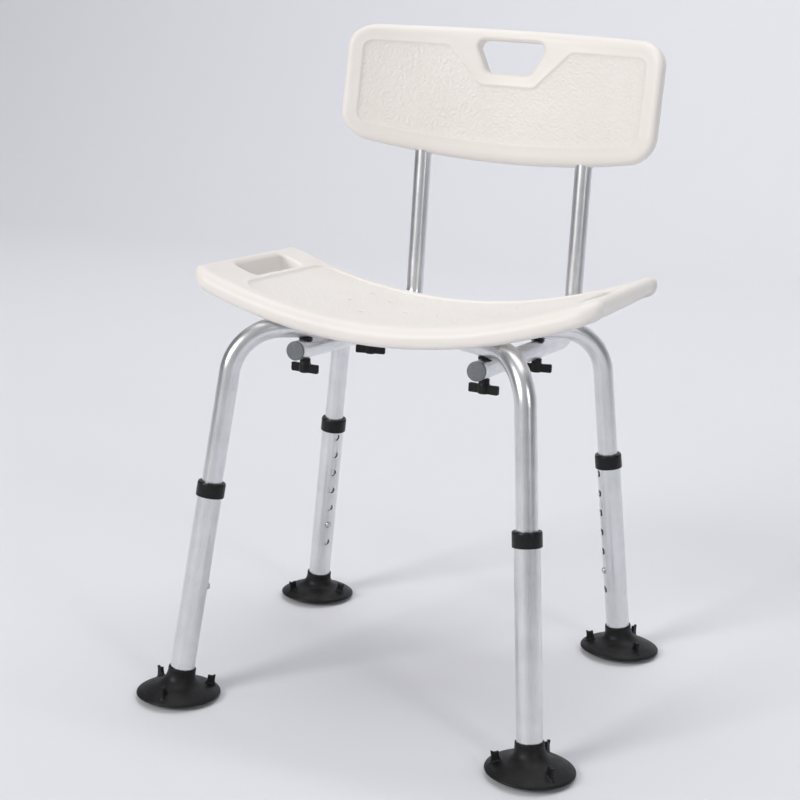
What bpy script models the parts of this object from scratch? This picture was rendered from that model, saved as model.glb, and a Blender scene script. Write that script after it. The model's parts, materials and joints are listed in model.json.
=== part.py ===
"""Shower chair with a curved plastic seat, a back board and height-adjustable legs.

Two arch tubes cross in an X under the seat and slide into four lower legs. Two L-shaped
tubes hang under the arches and rise behind the seat to carry the back board. Every piece is
first described in the frame's own coordinates, where the arches are level and z is 0 at the
snap buttons. The front legs are one hole longer than the rear ones, so the whole frame is
then pitched back a little to stand on the floor at z = 0, on the rear edges of its soles.
"""
import math

import bmesh
import bpy
from mathutils import Matrix, Vector

MM = 0.001

# Telescoping legs
HOLE_PITCH = 25.4 * MM
HOLE_COUNT = 7
HOLE_RADIUS = 4.3 * MM
REAR_HOLE = 6
FRONT_HOLE = 5
LOWER_OUTER = 14.3 * MM
LOWER_INNER = 13.1 * MM
LOWER_LENGTH = 226.0 * MM
FIRST_HOLE_DROP = 24.0 * MM
LEG_X = 206.0 * MM
LEG_Y = 167.0 * MM
LEG_SPLAY = 0.1354

# Collar: its lip covers the end of the lower tube and a liner reaches down inside
COLLAR_BORE = 12.45 * MM
COLLAR_OUTER = 16.5 * MM
COLLAR_LENGTH = 17.5 * MM
COLLAR_LIP = 2.5 * MM
LINER_LENGTH = 19.0 * MM

# Arch tubes
ARCH_OUTER = 12.0 * MM
ARCH_INNER = 10.8 * MM
ARCH_BEND = 60.0 * MM
ARCH_END_DROP = 35.0 * MM
CRIMP_FLAT = 20.0 * MM
CRIMP_STEP = 33.0 * MM
CRIMP_END = 46.0 * MM
CRIMP_HALF_HEIGHT = 5.8 * MM
CRIMP_HALF_WIDTH = 15.0 * MM
UPPER_CRIMP_LIFT = 1.0 * MM
LOWER_CRIMP_LIFT = UPPER_CRIMP_LIFT - 2 * CRIMP_HALF_HEIGHT - 0.4 * MM

# Backrest tubes
BACK_TUBE_X = 111.0 * MM
BACK_TUBE_OUTER = 11.1 * MM
BACK_TUBE_INNER = 9.9 * MM
BACK_TUBE_Z = 281.0 * MM
BACK_TUBE_FRONT = -114.0 * MM
BACK_TUBE_BEND = 50.0 * MM
BACK_TUBE_TOP = 598.0 * MM
POST_Y = 228.0 * MM
POST_Z = 400.0 * MM
RECLINE = 0.046

# Grey plug in the front end of a backrest tube
CAP_PLUG_LENGTH = 12.0 * MM
CAP_FACE = 3.2 * MM
CAP_CHAMFER = 1.0 * MM

# Seat board
SEAT_HALF_LENGTH = 250.0 * MM
SEAT_FRONT = -132.0 * MM
SEAT_REAR = 126.0 * MM
SEAT_THICKNESS = 24.0 * MM
SEAT_TOP = 325.8 * MM
SEAT_BEND = 0.854
SEAT_PITCH = 0.036
SEAT_CORNER = 30.0 * MM
SEAT_EDGE = 7.0 * MM
SEAT_DECK = 8.0 * MM
SEAT_RIM = 8.0 * MM
RECESS_HALF_LENGTH = 182.0 * MM
RECESS_CORNER = 18.0 * MM
SEAT_PANEL_HALF_LENGTH = 188.0 * MM
SEAT_PANEL_MARGIN = 24.0 * MM
SEAT_PANEL_CORNER = 22.0 * MM
HAND_SLOT_X = (198.0 * MM, 230.0 * MM)
HAND_SLOT_Y = (-57.0 * MM, 64.0 * MM)
HAND_SLOT_CORNER = 9.0 * MM
GRIP_X = 245.0 * MM
GRIP_Y = (-112.0 * MM, 104.0 * MM)
GRIP_CORNER = 3.0 * MM
DRAIN_HOLES = ((20, -15), (60, 33), (59, -53), (94, 54), (95, -7))
DRAIN_RADIUS = 3.0 * MM
BOSS_RADIUS = 13.0 * MM
POCKET_COVER = 6.0 * MM

# Back board, which sits a little askew on its posts
BOARD_HALF_LENGTH = 213.0 * MM
BOARD_TOP = 667.0 * MM
BOARD_BOTTOM = 496.5 * MM
BOARD_MIDDLE = 585.0 * MM
BOARD_THICKNESS = 30.0 * MM
BOARD_CORNER = 34.0 * MM
BOARD_EDGE = 9.0 * MM
BOARD_BEND = -1.1
BOARD_BOTTOM_RISE = 0.42
BOARD_TOP_DROP = 0.20
BOARD_ASKEW = math.radians(2.5)
PANEL_DEPTH = 1.2 * MM
PANEL_HALF_LENGTH = 187.0 * MM
PANEL_TOP = 642.0 * MM
PANEL_BOTTOM = 523.0 * MM
PANEL_CORNER = 18.0 * MM
NOTCH_FLOOR = 594.0 * MM
NOTCH_INNER = 37.0 * MM
NOTCH_OUTER = 84.0 * MM
GRIP_TOP = (50.0 * MM, 652.0 * MM)
GRIP_BOTTOM = (30.0 * MM, 611.0 * MM)
BACK_SLOT_CORNER = 9.0 * MM

# Fixings
GAP = 0.3 * MM
BOLT_RADIUS = 2.9 * MM
BOLT_HOLE = 3.3 * MM
BOLT_CHAMFER = 0.7 * MM
BOLT_HEAD_RADIUS = 6.0 * MM
BOLT_HEAD_HEIGHT = 4.0 * MM
NUT_RADIUS = 6.4 * MM
NUT_HEIGHT = 5.6 * MM
NUT_SIDES = 6
INSERT_OUTER = 4.9 * MM
STUD_DROP = 11.0 * MM
SADDLE_WEB = 1.2 * MM
SADDLE_RADIUS = 8.0 * MM
SADDLE_WRAP = 1.6 * MM
KNOB_HUB = 6.2 * MM
KNOB_SKIRT = 7.0 * MM
KNOB_WING = 19.0 * MM
KNOB_WING_HALF_THICKNESS = 2.4 * MM
KNOB_HEIGHT = 17.0 * MM
KNOB_WING_HEIGHT = 10.8 * MM
KNOB_BORE = 13.0 * MM
KNOB_TURN = math.radians(12)
SCREW_RADIUS = 2.0 * MM
SCREW_HEAD_RADIUS = 4.4 * MM
SCREW_HEAD_HEIGHT = 2.4 * MM
SCREW_TIP = 6.0 * MM
SCREW_HEIGHTS = (530.0 * MM, 575.0 * MM)
SCREW_POCKET = 13.2 * MM
SCREW_POCKET_RADIUS = 5.5 * MM

# Snap buttons and the springs that carry them
SNAP_RADIUS = 4.0 * MM
SNAP_REACH = 16.8 * MM
SNAP_FLANGE = 5.2 * MM
SNAP_BASE = 7.2 * MM
SNAP_STEP = 8.6 * MM
SPRING_HALF_WIDTH = 3.5 * MM
SPRING_THICKNESS = 1.0 * MM
SPRING_HEIGHT = 40.0 * MM
SPRING_FAR_SIDE = 9.2 * MM

# Feet: (height, radius, lean) rings, where lean 0 is level and 1 is square to the leg
FOOT_HEIGHT = 32.0 * MM
FOOT_RADIUS = 50.0 * MM
FOOT_SOCKET = 16.0 * MM
FOOT_RINGS = (
    (25.0, 16.4, 1.0), (18.0, 18.0, 0.8), (12.0, 25.0, 0.3), (7.0, 40.0, 0.0),
    (2.4, 49.6, 0.0), (0.0, 50.0, 0.0), (0.0, 43.0, 0.0), (4.0, 34.0, 0.0),
    (7.0, 16.0, 0.0), (7.0, 3.0, 0.0))
FOOT_NECK = 16.2 * MM
FOOT_CENTRE_HOLE = 3.0 * MM
TAB_COUNT = 3
TAB_HALF_THICKNESS = 2.0 * MM
TAB_OUTLINE = ((29, 5), (44, 3), (42, 8), (43, 21), (34, 20), (34, 10.5))

# Turn of each foot round its leg, in degrees to one of its tabs
FOOT_TURN = {"front_left": 36, "front_right": 82, "rear_left": 113, "rear_right": 78}

# Forward shift that centres the whole chair, feet to back board, on the origin
DEPTH_SHIFT = -48.515 * MM

# Facets round a circle
BACK_TUBE_SIDES = 14
TUBE_SIDES = 14
SMALL_SIDES = 12
FOOT_SIDES = 18
CHANNEL_SIDES = 20
DRILL_SIDES = 8
LEG_HOLE_SIDES = 10

# Reach of a cutter past the piece it cuts
CUT_REACH = 30.0 * MM
SEAT_CUT_RISE = 80.0 * MM

LEGS = {
    "front_left": (-1, -1, FRONT_HOLE),
    "front_right": (1, -1, FRONT_HOLE),
    "rear_left": (-1, 1, REAR_HOLE),
    "rear_right": (1, 1, REAR_HOLE),
}
SIDES = {"left": -1, "right": 1}

LEG_SPAN = math.hypot(LEG_X, LEG_Y)
ARCH_Z = BACK_TUBE_Z + BACK_TUBE_OUTER + SADDLE_WEB + ARCH_OUTER
COLLAR_TOP = FIRST_HOLE_DROP + (REAR_HOLE - 1) * HOLE_PITCH
BOLT_Y = BACK_TUBE_X * LEG_Y / LEG_X
UP = Vector((0.0, 0.0, 1.0))
ACROSS = Vector((1.0, 0.0, 0.0))
BOARD_UP = Vector((0.0, RECLINE, 1.0)).normalized()
BOARD_NORMAL = Vector((0.0, 1.0, -RECLINE)).normalized()


def outward(side_x, side_y):
    """Level unit vector from the chair's middle towards one leg."""
    return Vector((side_x * LEG_X, side_y * LEG_Y, 0.0)) / LEG_SPAN


def leg_axis(side_x, side_y):
    """Unit vector up one leg, which leans in towards the middle."""
    return (UP - outward(side_x, side_y) * LEG_SPLAY).normalized()


def leg_point(side_x, side_y, along):
    """Point on a leg's axis, measured up the leg from the snap button."""
    return outward(side_x, side_y) * LEG_SPAN + leg_axis(side_x, side_y) * along


def hole_shift(hole):
    """How far a leg's lower tube sits below the one whose button is in the rear hole."""
    return (REAR_HOLE - hole) * HOLE_PITCH


def tube_end(side_x, side_y, hole):
    """Where a lower tube leaves the top of its foot."""
    along = COLLAR_TOP - hole_shift(hole) - LOWER_LENGTH
    return leg_point(side_x, side_y, along)


def foot_center(side_x, side_y, hole):
    """Middle of a foot's level sole, in line with its leg."""
    axis = leg_axis(side_x, side_y)
    return tube_end(side_x, side_y, hole) - axis * (FOOT_HEIGHT / axis.z)


def standing_transform():
    """Pitch and lift that stand the rear edges of the four faceted soles on the floor."""
    front = foot_center(1, -1, FRONT_HOLE)
    rear = foot_center(1, 1, REAR_HOLE)
    pitch = math.atan2(rear.z - front.z, rear.y - front.y)
    turn = Matrix.Rotation(-pitch, 4, "X")
    middle = (turn @ front + turn @ rear) / 2
    lift = FOOT_RADIUS * math.cos(math.pi / FOOT_SIDES) * math.sin(pitch) - middle.z
    return Matrix.Translation((0.0, DEPTH_SHIFT - middle.y, lift)) @ turn


STAND = standing_transform()


def stand_direction(direction):
    """A frame direction as it points once the chair stands on the floor."""
    return (STAND.to_3x3() @ direction).normalized()


# Mesh helpers


def clear_scene():
    for obj in list(bpy.data.objects):
        bpy.data.objects.remove(obj, do_unlink=True)


def make_material(name, color, roughness, metallic=0.0):
    material = bpy.data.materials.new(name)
    material.use_nodes = True
    shader = material.node_tree.nodes["Principled BSDF"]
    shader.inputs["Base Color"].default_value = (*color, 1.0)
    shader.inputs["Roughness"].default_value = roughness
    shader.inputs["Metallic"].default_value = metallic
    material.diffuse_color = (*color, 1.0)
    return material


def make_object(name, bm, material, pivot=None):
    """Turn a bmesh in frame coordinates into an object with its origin on the pivot."""
    bmesh.ops.transform(bm, matrix=STAND, verts=bm.verts)
    origin = STAND @ pivot if pivot is not None else Vector()
    bmesh.ops.translate(bm, vec=-origin, verts=bm.verts)
    bmesh.ops.recalc_face_normals(bm, faces=bm.faces)
    for face in bm.faces:
        face.smooth = True
    mesh = bpy.data.meshes.new(name)
    bm.to_mesh(mesh)
    bm.free()
    obj = bpy.data.objects.new(name, mesh)
    obj.location = origin
    bpy.context.scene.collection.objects.link(obj)
    if material is not None:
        mesh.materials.append(material)
    return obj


def boolean(obj, bm, operation="DIFFERENCE"):
    """Add a Boolean of one closed tool to an object."""
    count = len(obj.modifiers) + 1
    tool = make_object(f"{obj.name}_tool_{count}", bm, None)
    tool.hide_render = True
    tool.display_type = "WIRE"
    modifier = obj.modifiers.new(f"{operation.lower()}_{count}", "BOOLEAN")
    modifier.operation = operation
    modifier.solver = "EXACT"
    modifier.object = tool


def skin_rings(bm, rings, closed_loop=False):
    """Join rings of points with quads, and cap the ends unless the rings form a loop."""
    rows = [[bm.verts.new(point) for point in ring] for ring in rings]
    sides = len(rows[0])
    pairs = list(zip(rows, rows[1:]))
    if closed_loop:
        pairs.append((rows[-1], rows[0]))
    for row, after in pairs:
        for i in range(sides):
            j = (i + 1) % sides
            bm.faces.new((row[i], row[j], after[j], after[i]))
    if not closed_loop:
        bm.faces.new(rows[0])
        bm.faces.new(rows[-1])


def circle(center, side, normal, radius, height=None, sides=TUBE_SIDES):
    """Ring of points round a centre, an ellipse when a second radius is given."""
    height = radius if height is None else height
    ring = []
    for i in range(sides):
        angle = 2 * math.pi * i / sides
        ring.append(center + side * radius * math.cos(angle) + normal * height * math.sin(angle))
    return ring


def side_vectors(axis):
    """Two unit vectors square to an axis and to each other."""
    helper = ACROSS if abs(axis.dot(ACROSS)) < 0.9 else Vector((0.0, 1.0, 0.0))
    side = (helper - axis * axis.dot(helper)).normalized()
    return side, axis.cross(side)


def add_cylinder(bm, start, end, radius, sides=SMALL_SIDES):
    side, normal = side_vectors((end - start).normalized())
    skin_rings(bm, [circle(point, side, normal, radius, sides=sides) for point in (start, end)])


def add_lathe(bm, start, axis, profile, sides=TUBE_SIDES):
    """Turn a closed profile of (radius, height) points that stays off the axis."""
    side, normal = side_vectors(axis)
    rings = [circle(start + axis * height, side, normal, radius, sides=sides)
             for radius, height in profile]
    skin_rings(bm, rings, closed_loop=True)


def add_turned(bm, start, axis, profile, sides=TUBE_SIDES):
    """Turn an open profile of (radius, height) points into a solid with flat ends."""
    side, normal = side_vectors(axis)
    rings = [circle(start + axis * height, side, normal, radius, sides=sides)
             for radius, height in profile]
    skin_rings(bm, rings)


def add_prism(bm, outline, start, end):
    """Solid between two copies of an outline, moved by the start and end vectors."""
    skin_rings(bm, [[point + shift for point in outline] for shift in (start, end)])


def rounded_polygon(corners, radius, steps=4):
    """Outline of 2-D corners with each corner rounded."""
    points = []
    count = len(corners)
    for i, corner in enumerate(corners):
        corner = Vector(corner)
        before = (Vector(corners[i - 1]) - corner).normalized()
        after = (Vector(corners[(i + 1) % count]) - corner).normalized()
        half = before.angle(after) / 2
        center = corner + (before + after).normalized() * radius / math.sin(half)
        first = corner + before * radius / math.tan(half) - center
        last = corner + after * radius / math.tan(half) - center
        sweep = first.angle(last)
        for step in range(steps + 1):
            t = step / steps
            blend = first * math.sin((1 - t) * sweep) + last * math.sin(t * sweep)
            points.append(center + blend / math.sin(sweep))
    return points


def bent_path(start, corner, end, radius, steps):
    """Points of a tube that runs to a corner, bends round it and runs on."""
    back = (start - corner).normalized()
    ahead = (end - corner).normalized()
    half = back.angle(ahead) / 2
    center = corner + (back + ahead).normalized() * radius / math.sin(half)
    first = corner + back * radius / math.tan(half) - center
    last = corner + ahead * radius / math.tan(half) - center
    sweep = first.angle(last)
    arc = []
    for step in range(steps + 1):
        t = step / steps
        blend = first * math.sin((1 - t) * sweep) + last * math.sin(t * sweep)
        arc.append(center + blend / math.sin(sweep))
    return [start, *arc, end]


def tangents(points):
    """Direction of a path at each of its points."""
    result = []
    for i, _ in enumerate(points):
        before = points[max(i - 1, 0)]
        after = points[min(i + 1, len(points) - 1)]
        result.append((after - before).normalized())
    return result


def hollow_tube(bm, points, side, sections, sides=TUBE_SIDES):
    """Tube along a flat path. Each section is (half width, half height, lift, wall)."""
    outer = []
    inner = []
    for point, tangent, section in zip(points, tangents(points), sections):
        half_width, half_height, lift, wall = section
        normal = tangent.cross(side).normalized()
        center = point + UP * lift
        outer.append(circle(center, side, normal, half_width, half_height, sides))
        inner.append(circle(center, side, normal, half_width - wall, half_height - wall, sides))
    skin_rings(bm, outer + inner[::-1], closed_loop=True)


def rounded_section(low, high, half_thickness, edge, steps=2):
    """Closed section of a board as (across, through) pairs, with rounded edges if wanted."""
    corners = [(low, -half_thickness), (high, -half_thickness),
               (high, half_thickness), (low, half_thickness)]
    return rounded_polygon(corners, edge, steps) if edge > 0 else corners


def board_stations(half_length, corner, edge, inner_stations):
    """Places along a board where its section is set, close together round its corners."""
    arc = [math.sin(math.radians(angle)) for angle in (0, 24, 46, 64)]
    positive = [half_length - corner + corner * value for value in arc]
    positive += [half_length - edge * (1 - value) for value in (0.5, 0.86, 1.0)]
    positive += inner_stations
    positive = sorted(set(round(value, 6) for value in positive if value > 0))
    return [-value for value in reversed(positive)] + [0.0] + positive


def quarter_drop(distance, radius):
    """How far a quarter circle of this radius has dropped after this distance."""
    distance = max(distance, 0.0)
    return radius - math.sqrt(max(radius ** 2 - distance ** 2, 0.0))


def board_rings(half_length, low, high, thickness, corner, edge, inner_stations, place):
    """Rings of a board whose low and high edges are functions of the place along it."""
    rings = []
    for x in board_stations(half_length, corner, edge, inner_stations):
        pull = quarter_drop(abs(x) - (half_length - corner), corner)
        thin = quarter_drop(abs(x) - (half_length - edge), edge)
        half = thickness / 2 - thin * 0.9
        section = rounded_section(low(x) + pull, high(x) - pull, half, min(edge, half * 0.9))
        rings.append([place(x, across, through) for across, through in section])
    return rings


def even_stations(spacing, reach):
    count = int(reach / spacing)
    return [spacing * (i + 1) for i in range(count)]


# Seat


def seat_surface(x, y):
    """Height of the top of the seat, which rises to its ends and a little to the rear."""
    return SEAT_TOP + SEAT_BEND * x * x + SEAT_PITCH * y


def seat_place(x, across, through):
    """Seat coordinates to the frame: through is measured from the middle of the board."""
    return Vector((x, across, seat_surface(x, across) - SEAT_THICKNESS / 2 + through))


def seat_layer(half_length, front, rear, bottom, top, corner):
    """A bent slab that follows the seat, from one height in its thickness to another."""
    middle = (bottom + top) / 2

    def place(x, across, through):
        return seat_place(x, across, through + middle)

    bm = bmesh.new()
    stations = even_stations(35 * MM, half_length - corner - 20 * MM)
    skin_rings(bm, board_rings(half_length, lambda x: front, lambda x: rear, top - bottom,
                               corner, 0.0, stations, place))
    return bm


def bolt_place(side_x, side_y):
    """Where an arch tube crosses over a backrest tube, at z = 0."""
    return Vector((side_x * BACK_TUBE_X, side_y * BOLT_Y, 0.0))


def pocket_top(place):
    """Blind end of the pocket that holds a threaded insert under the seat's surface."""
    return seat_surface(place.x, place.y) - POCKET_COVER


def rectangle(xs, ys):
    return [(xs[0], ys[0]), (xs[1], ys[0]), (xs[1], ys[1]), (xs[0], ys[1])]


def build_seat(material):
    bm = bmesh.new()
    rings = board_rings(SEAT_HALF_LENGTH, lambda x: SEAT_FRONT, lambda x: SEAT_REAR,
                        SEAT_THICKNESS, SEAT_CORNER, SEAT_EDGE,
                        even_stations(35 * MM, 210 * MM), seat_place)
    skin_rings(bm, rings)
    seat = make_object("seat_board", bm, material)
    half = SEAT_THICKNESS / 2
    boolean(seat, seat_layer(RECESS_HALF_LENGTH, SEAT_FRONT + SEAT_RIM, SEAT_REAR - SEAT_RIM,
                             -half - 6 * MM, half - SEAT_DECK, RECESS_CORNER))
    boolean(seat, seat_layer(SEAT_PANEL_HALF_LENGTH, SEAT_FRONT + SEAT_PANEL_MARGIN,
                             SEAT_REAR - SEAT_PANEL_MARGIN, half - PANEL_DEPTH,
                             half + 5 * MM, SEAT_PANEL_CORNER))
    boolean(seat, seat_bosses(), "UNION")
    boolean(seat, seat_holes())
    boolean(seat, grip_setbacks())


def seat_bosses():
    """Posts under the seat's deck that rest on the arch tubes."""
    bm = bmesh.new()
    for side_x, side_y, _ in LEGS.values():
        place = bolt_place(side_x, side_y)
        deck = seat_surface(place.x, place.y) - SEAT_DECK / 2
        add_cylinder(bm, place + UP * (ARCH_Z + ARCH_OUTER + GAP), place + UP * deck,
                     BOSS_RADIUS, TUBE_SIDES)
    return bm


def seat_holes():
    """Hand slots, drain holes and the blind pockets for the threaded inserts."""
    bm = bmesh.new()
    low = UP * (SEAT_TOP - SEAT_THICKNESS - CUT_REACH)
    high = UP * (SEAT_TOP + SEAT_CUT_RISE)
    slot = rounded_polygon(rectangle(HAND_SLOT_X, HAND_SLOT_Y), HAND_SLOT_CORNER)
    for side in SIDES.values():
        add_prism(bm, [Vector((side * x, y, 0.0)) for x, y in slot], low, high)
        for x, y in DRAIN_HOLES:
            place = Vector((side * x * MM, y * MM, 0.0))
            add_cylinder(bm, place + low, place + high, DRAIN_RADIUS, DRILL_SIDES)
    for side_x, side_y, _ in LEGS.values():
        place = bolt_place(side_x, side_y)
        add_cylinder(bm, place + UP * ARCH_Z, place + UP * pocket_top(place),
                     INSERT_OUTER + GAP)
    return bm


def grip_setbacks():
    """Cutters that set the two end bars back a little between the seat's corners."""
    bm = bmesh.new()
    outer = SEAT_HALF_LENGTH + CUT_REACH
    outline = rounded_polygon(rectangle((GRIP_X, outer), GRIP_Y), GRIP_CORNER, 2)
    for side in SIDES.values():
        add_prism(bm, [Vector((side * x, y, 0.0)) for x, y in outline],
                  UP * SEAT_TOP, UP * (SEAT_TOP + SEAT_CUT_RISE))
    return bm


def build_fixings(brass, steel, black):
    """Threaded inserts, studs, saddles and wing knobs at the four tube crossings."""
    insert_low = ARCH_Z + ARCH_OUTER + 2 * GAP
    stud_low = BACK_TUBE_Z - BACK_TUBE_OUTER - STUD_DROP
    for name, (side_x, side_y, _) in LEGS.items():
        place = bolt_place(side_x, side_y)
        top = pocket_top(place) - GAP
        bm = bmesh.new()
        add_lathe(bm, place, UP, [(BOLT_HOLE, insert_low), (INSERT_OUTER, insert_low),
                                  (INSERT_OUTER, top), (BOLT_HOLE, top)], SMALL_SIDES)
        make_object(f"threaded_insert_{name}", bm, brass)
        bm = bmesh.new()
        add_turned(bm, place, UP, [(BOLT_RADIUS - BOLT_CHAMFER, stud_low),
                                   (BOLT_RADIUS, stud_low + BOLT_CHAMFER),
                                   (BOLT_RADIUS, top)], SMALL_SIDES)
        make_object(f"stud_{name}", bm, steel)
        build_saddle(name, side_x, side_y, place, black)
        build_wing_knob(name, side_y, place, black)


def build_saddle(name, side_x, side_y, place, material):
    """Thin plastic spacer hollowed above for the arch tube and below for the other."""
    low = BACK_TUBE_Z + BACK_TUBE_OUTER - SADDLE_WRAP
    high = ARCH_Z - ARCH_OUTER + SADDLE_WRAP
    bm = bmesh.new()
    add_cylinder(bm, place + UP * low, place + UP * high, SADDLE_RADIUS)
    saddle = make_object(f"saddle_{name}", bm, material)
    cuts = ((ARCH_Z, outward(side_x, side_y), ARCH_OUTER + GAP, CHANNEL_SIDES),
            (BACK_TUBE_Z, Vector((0.0, 1.0, 0.0)), BACK_TUBE_OUTER + GAP, CHANNEL_SIDES),
            (low, UP, BOLT_HOLE, SMALL_SIDES))
    for height, along, radius, sides in cuts:
        middle = place + UP * height
        reach = along * CUT_REACH
        bm = bmesh.new()
        add_cylinder(bm, middle - reach, middle + reach, radius, sides)
        boolean(saddle, bm)


def build_wing_knob(name, side_y, place, material):
    """Wing knob on the lower end of a stud, with its origin on the stud's axis."""
    top = BACK_TUBE_Z - BACK_TUBE_OUTER - GAP
    base = place + UP * (top - KNOB_HEIGHT)
    bm = bmesh.new()
    add_turned(bm, base, UP,
               [(KNOB_HUB, 0.0), (KNOB_SKIRT, 1.0 * MM), (KNOB_SKIRT, KNOB_WING_HEIGHT),
                (KNOB_HUB, KNOB_WING_HEIGHT + 1.0 * MM), (KNOB_HUB, KNOB_HEIGHT)])
    knob = make_object(f"wing_knob_{name}", bm, material, place + UP * top)
    wings = bmesh.new()
    turn = Matrix.Rotation(KNOB_TURN * side_y, 4, "Z")
    outline = rectangle((-KNOB_WING, KNOB_WING), (0.4 * MM, KNOB_WING_HEIGHT))
    points = [turn @ Vector((x, 0.0, z)) + base
              for x, z in rounded_polygon(outline, 2.0 * MM, 3)]
    half = turn @ Vector((0.0, KNOB_WING_HALF_THICKNESS, 0.0))
    add_prism(wings, points, -half, half)
    boolean(knob, wings, "UNION")
    bore = bmesh.new()
    add_cylinder(bore, place + UP * (top - KNOB_BORE), place + UP * (top + CUT_REACH), BOLT_HOLE)
    boolean(knob, bore)


# Frame tubes


def crimp_section(distance, lift):
    """Section of an arch tube, flattened and stepped aside near the crossing."""
    wall = ARCH_OUTER - ARCH_INNER
    t = min(max((abs(distance) - CRIMP_FLAT) / (CRIMP_END - CRIMP_FLAT), 0.0), 1.0)
    t = t * t * (3 - 2 * t)
    half_height = CRIMP_HALF_HEIGHT + (ARCH_OUTER - CRIMP_HALF_HEIGHT) * t
    half_width = CRIMP_HALF_WIDTH + (ARCH_OUTER - CRIMP_HALF_WIDTH) * t
    return half_width, half_height, lift * (1 - t), wall


def build_arch(name, side_x, lift, material):
    """Tube that joins a front leg to the rear leg across from it."""
    front = (side_x, -1)
    rear = (-side_x, 1)
    top_along = ARCH_Z / leg_axis(*front).z
    ends = []
    for leg in (front, rear):
        start = leg_point(*leg, -ARCH_END_DROP)
        corner = leg_point(*leg, top_along)
        inner = outward(*leg) * CRIMP_END + UP * ARCH_Z
        ends.append(bent_path(start, corner, inner, ARCH_BEND, 5))
    crimp = [outward(*front) * value + UP * ARCH_Z
             for value in (CRIMP_STEP, CRIMP_FLAT, -CRIMP_FLAT, -CRIMP_STEP)]
    points = ends[0] + crimp + ends[1][::-1]
    side = outward(*front).cross(UP)
    sections = [crimp_section(p.xy.length if p.z > ARCH_Z - MM else 1.0, lift)
                for p in points]
    bm = bmesh.new()
    hollow_tube(bm, points, side, sections)
    arch = make_object(name, bm, material)

    holes = bmesh.new()
    for leg in (front, rear):
        start = leg_point(*leg, 0.0)
        inward = snap_direction(*leg)
        add_cylinder(holes, start + inward * SNAP_RADIUS, start + inward * CUT_REACH, HOLE_RADIUS)
    for place in (bolt_place(*front), Vector(), bolt_place(*rear)):
        middle = place + UP * ARCH_Z
        add_cylinder(holes, middle - UP * CUT_REACH, middle + UP * CUT_REACH, BOLT_HOLE)
    boolean(arch, holes)


def snap_direction(side_x, side_y):
    """Direction in which a snap button points, square to its leg and inwards."""
    axis = leg_axis(side_x, side_y)
    inward = -outward(side_x, side_y)
    return (inward - axis * axis.dot(inward)).normalized()


def post_point(side_x, height):
    return Vector((side_x * BACK_TUBE_X, POST_Y + RECLINE * (height - POST_Z), height))


def build_back_tube(side_x, name, material):
    """L-shaped tube: level under the seat, then up behind it to the back board."""
    start = Vector((side_x * BACK_TUBE_X, BACK_TUBE_FRONT, BACK_TUBE_Z))
    corner = post_point(side_x, BACK_TUBE_Z)
    points = bent_path(start, corner, post_point(side_x, BACK_TUBE_TOP), BACK_TUBE_BEND, 5)
    wall = BACK_TUBE_OUTER - BACK_TUBE_INNER
    section = (BACK_TUBE_OUTER, BACK_TUBE_OUTER, 0.0, wall)
    bm = bmesh.new()
    hollow_tube(bm, points, ACROSS, [section] * len(points), BACK_TUBE_SIDES)
    tube = make_object(f"backrest_tube_{name}", bm, material)
    holes = bmesh.new()
    reach = UP * CUT_REACH
    for side_y in (-1, 1):
        middle = bolt_place(side_x, side_y) + UP * BACK_TUBE_Z
        add_cylinder(holes, middle - reach, middle + reach, BOLT_HOLE)
    for height in SCREW_HEIGHTS:
        place = post_point(side_x, height)
        add_cylinder(holes, place, place + BOARD_NORMAL * CUT_REACH, SCREW_RADIUS + GAP,
                     DRILL_SIDES)
    boolean(tube, holes)


def build_end_cap(side_x, name, material):
    """Grey plug in the open front end of a backrest tube."""
    start = Vector((side_x * BACK_TUBE_X, BACK_TUBE_FRONT, BACK_TUBE_Z))
    plug = BACK_TUBE_INNER - GAP
    bm = bmesh.new()
    add_turned(bm, start, Vector((0.0, -1.0, 0.0)),
               [(plug - CAP_CHAMFER, -CAP_PLUG_LENGTH), (plug, CAP_CHAMFER - CAP_PLUG_LENGTH),
                (plug, GAP), (BACK_TUBE_OUTER, GAP), (BACK_TUBE_OUTER, CAP_FACE - CAP_CHAMFER),
                (BACK_TUBE_OUTER - CAP_CHAMFER, CAP_FACE)], BACK_TUBE_SIDES)
    make_object(f"tube_cap_{name}", bm, material)


def build_centre_bolt(steel):
    """Bolt and nut that clamp the two arch tubes where they cross."""
    head_low = ARCH_Z + UPPER_CRIMP_LIFT + CRIMP_HALF_HEIGHT + GAP
    nut_high = ARCH_Z + LOWER_CRIMP_LIFT - CRIMP_HALF_HEIGHT - GAP
    nut_low = nut_high - NUT_HEIGHT
    bm = bmesh.new()
    add_turned(bm, Vector(), UP,
               [(BOLT_RADIUS, nut_low - 2 * MM), (BOLT_RADIUS, head_low),
                (BOLT_HEAD_RADIUS, head_low), (BOLT_HEAD_RADIUS, head_low + BOLT_HEAD_HEIGHT / 2),
                (BOLT_HEAD_RADIUS / 2, head_low + BOLT_HEAD_HEIGHT)], SMALL_SIDES)
    make_object("centre_bolt", bm, steel)
    bm = bmesh.new()
    bore = BOLT_HOLE / math.cos(math.pi / NUT_SIDES)
    add_lathe(bm, Vector(), UP, [(bore, nut_low), (NUT_RADIUS, nut_low),
                                 (NUT_RADIUS, nut_high), (bore, nut_high)], NUT_SIDES)
    make_object("centre_nut", bm, steel)


# Back board


def board_place(x, height, through):
    """Back board coordinates to the frame: through runs from the front to the rear."""
    rise = height - BOARD_MIDDLE
    along = x * math.cos(BOARD_ASKEW) + rise * math.sin(BOARD_ASKEW)
    base = post_point(0.0, BOARD_MIDDLE + rise * math.cos(BOARD_ASKEW) - x * math.sin(BOARD_ASKEW))
    base.x = along
    return base + BOARD_NORMAL * (through + BOARD_BEND * (along ** 2 - BACK_TUBE_X ** 2))


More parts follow.
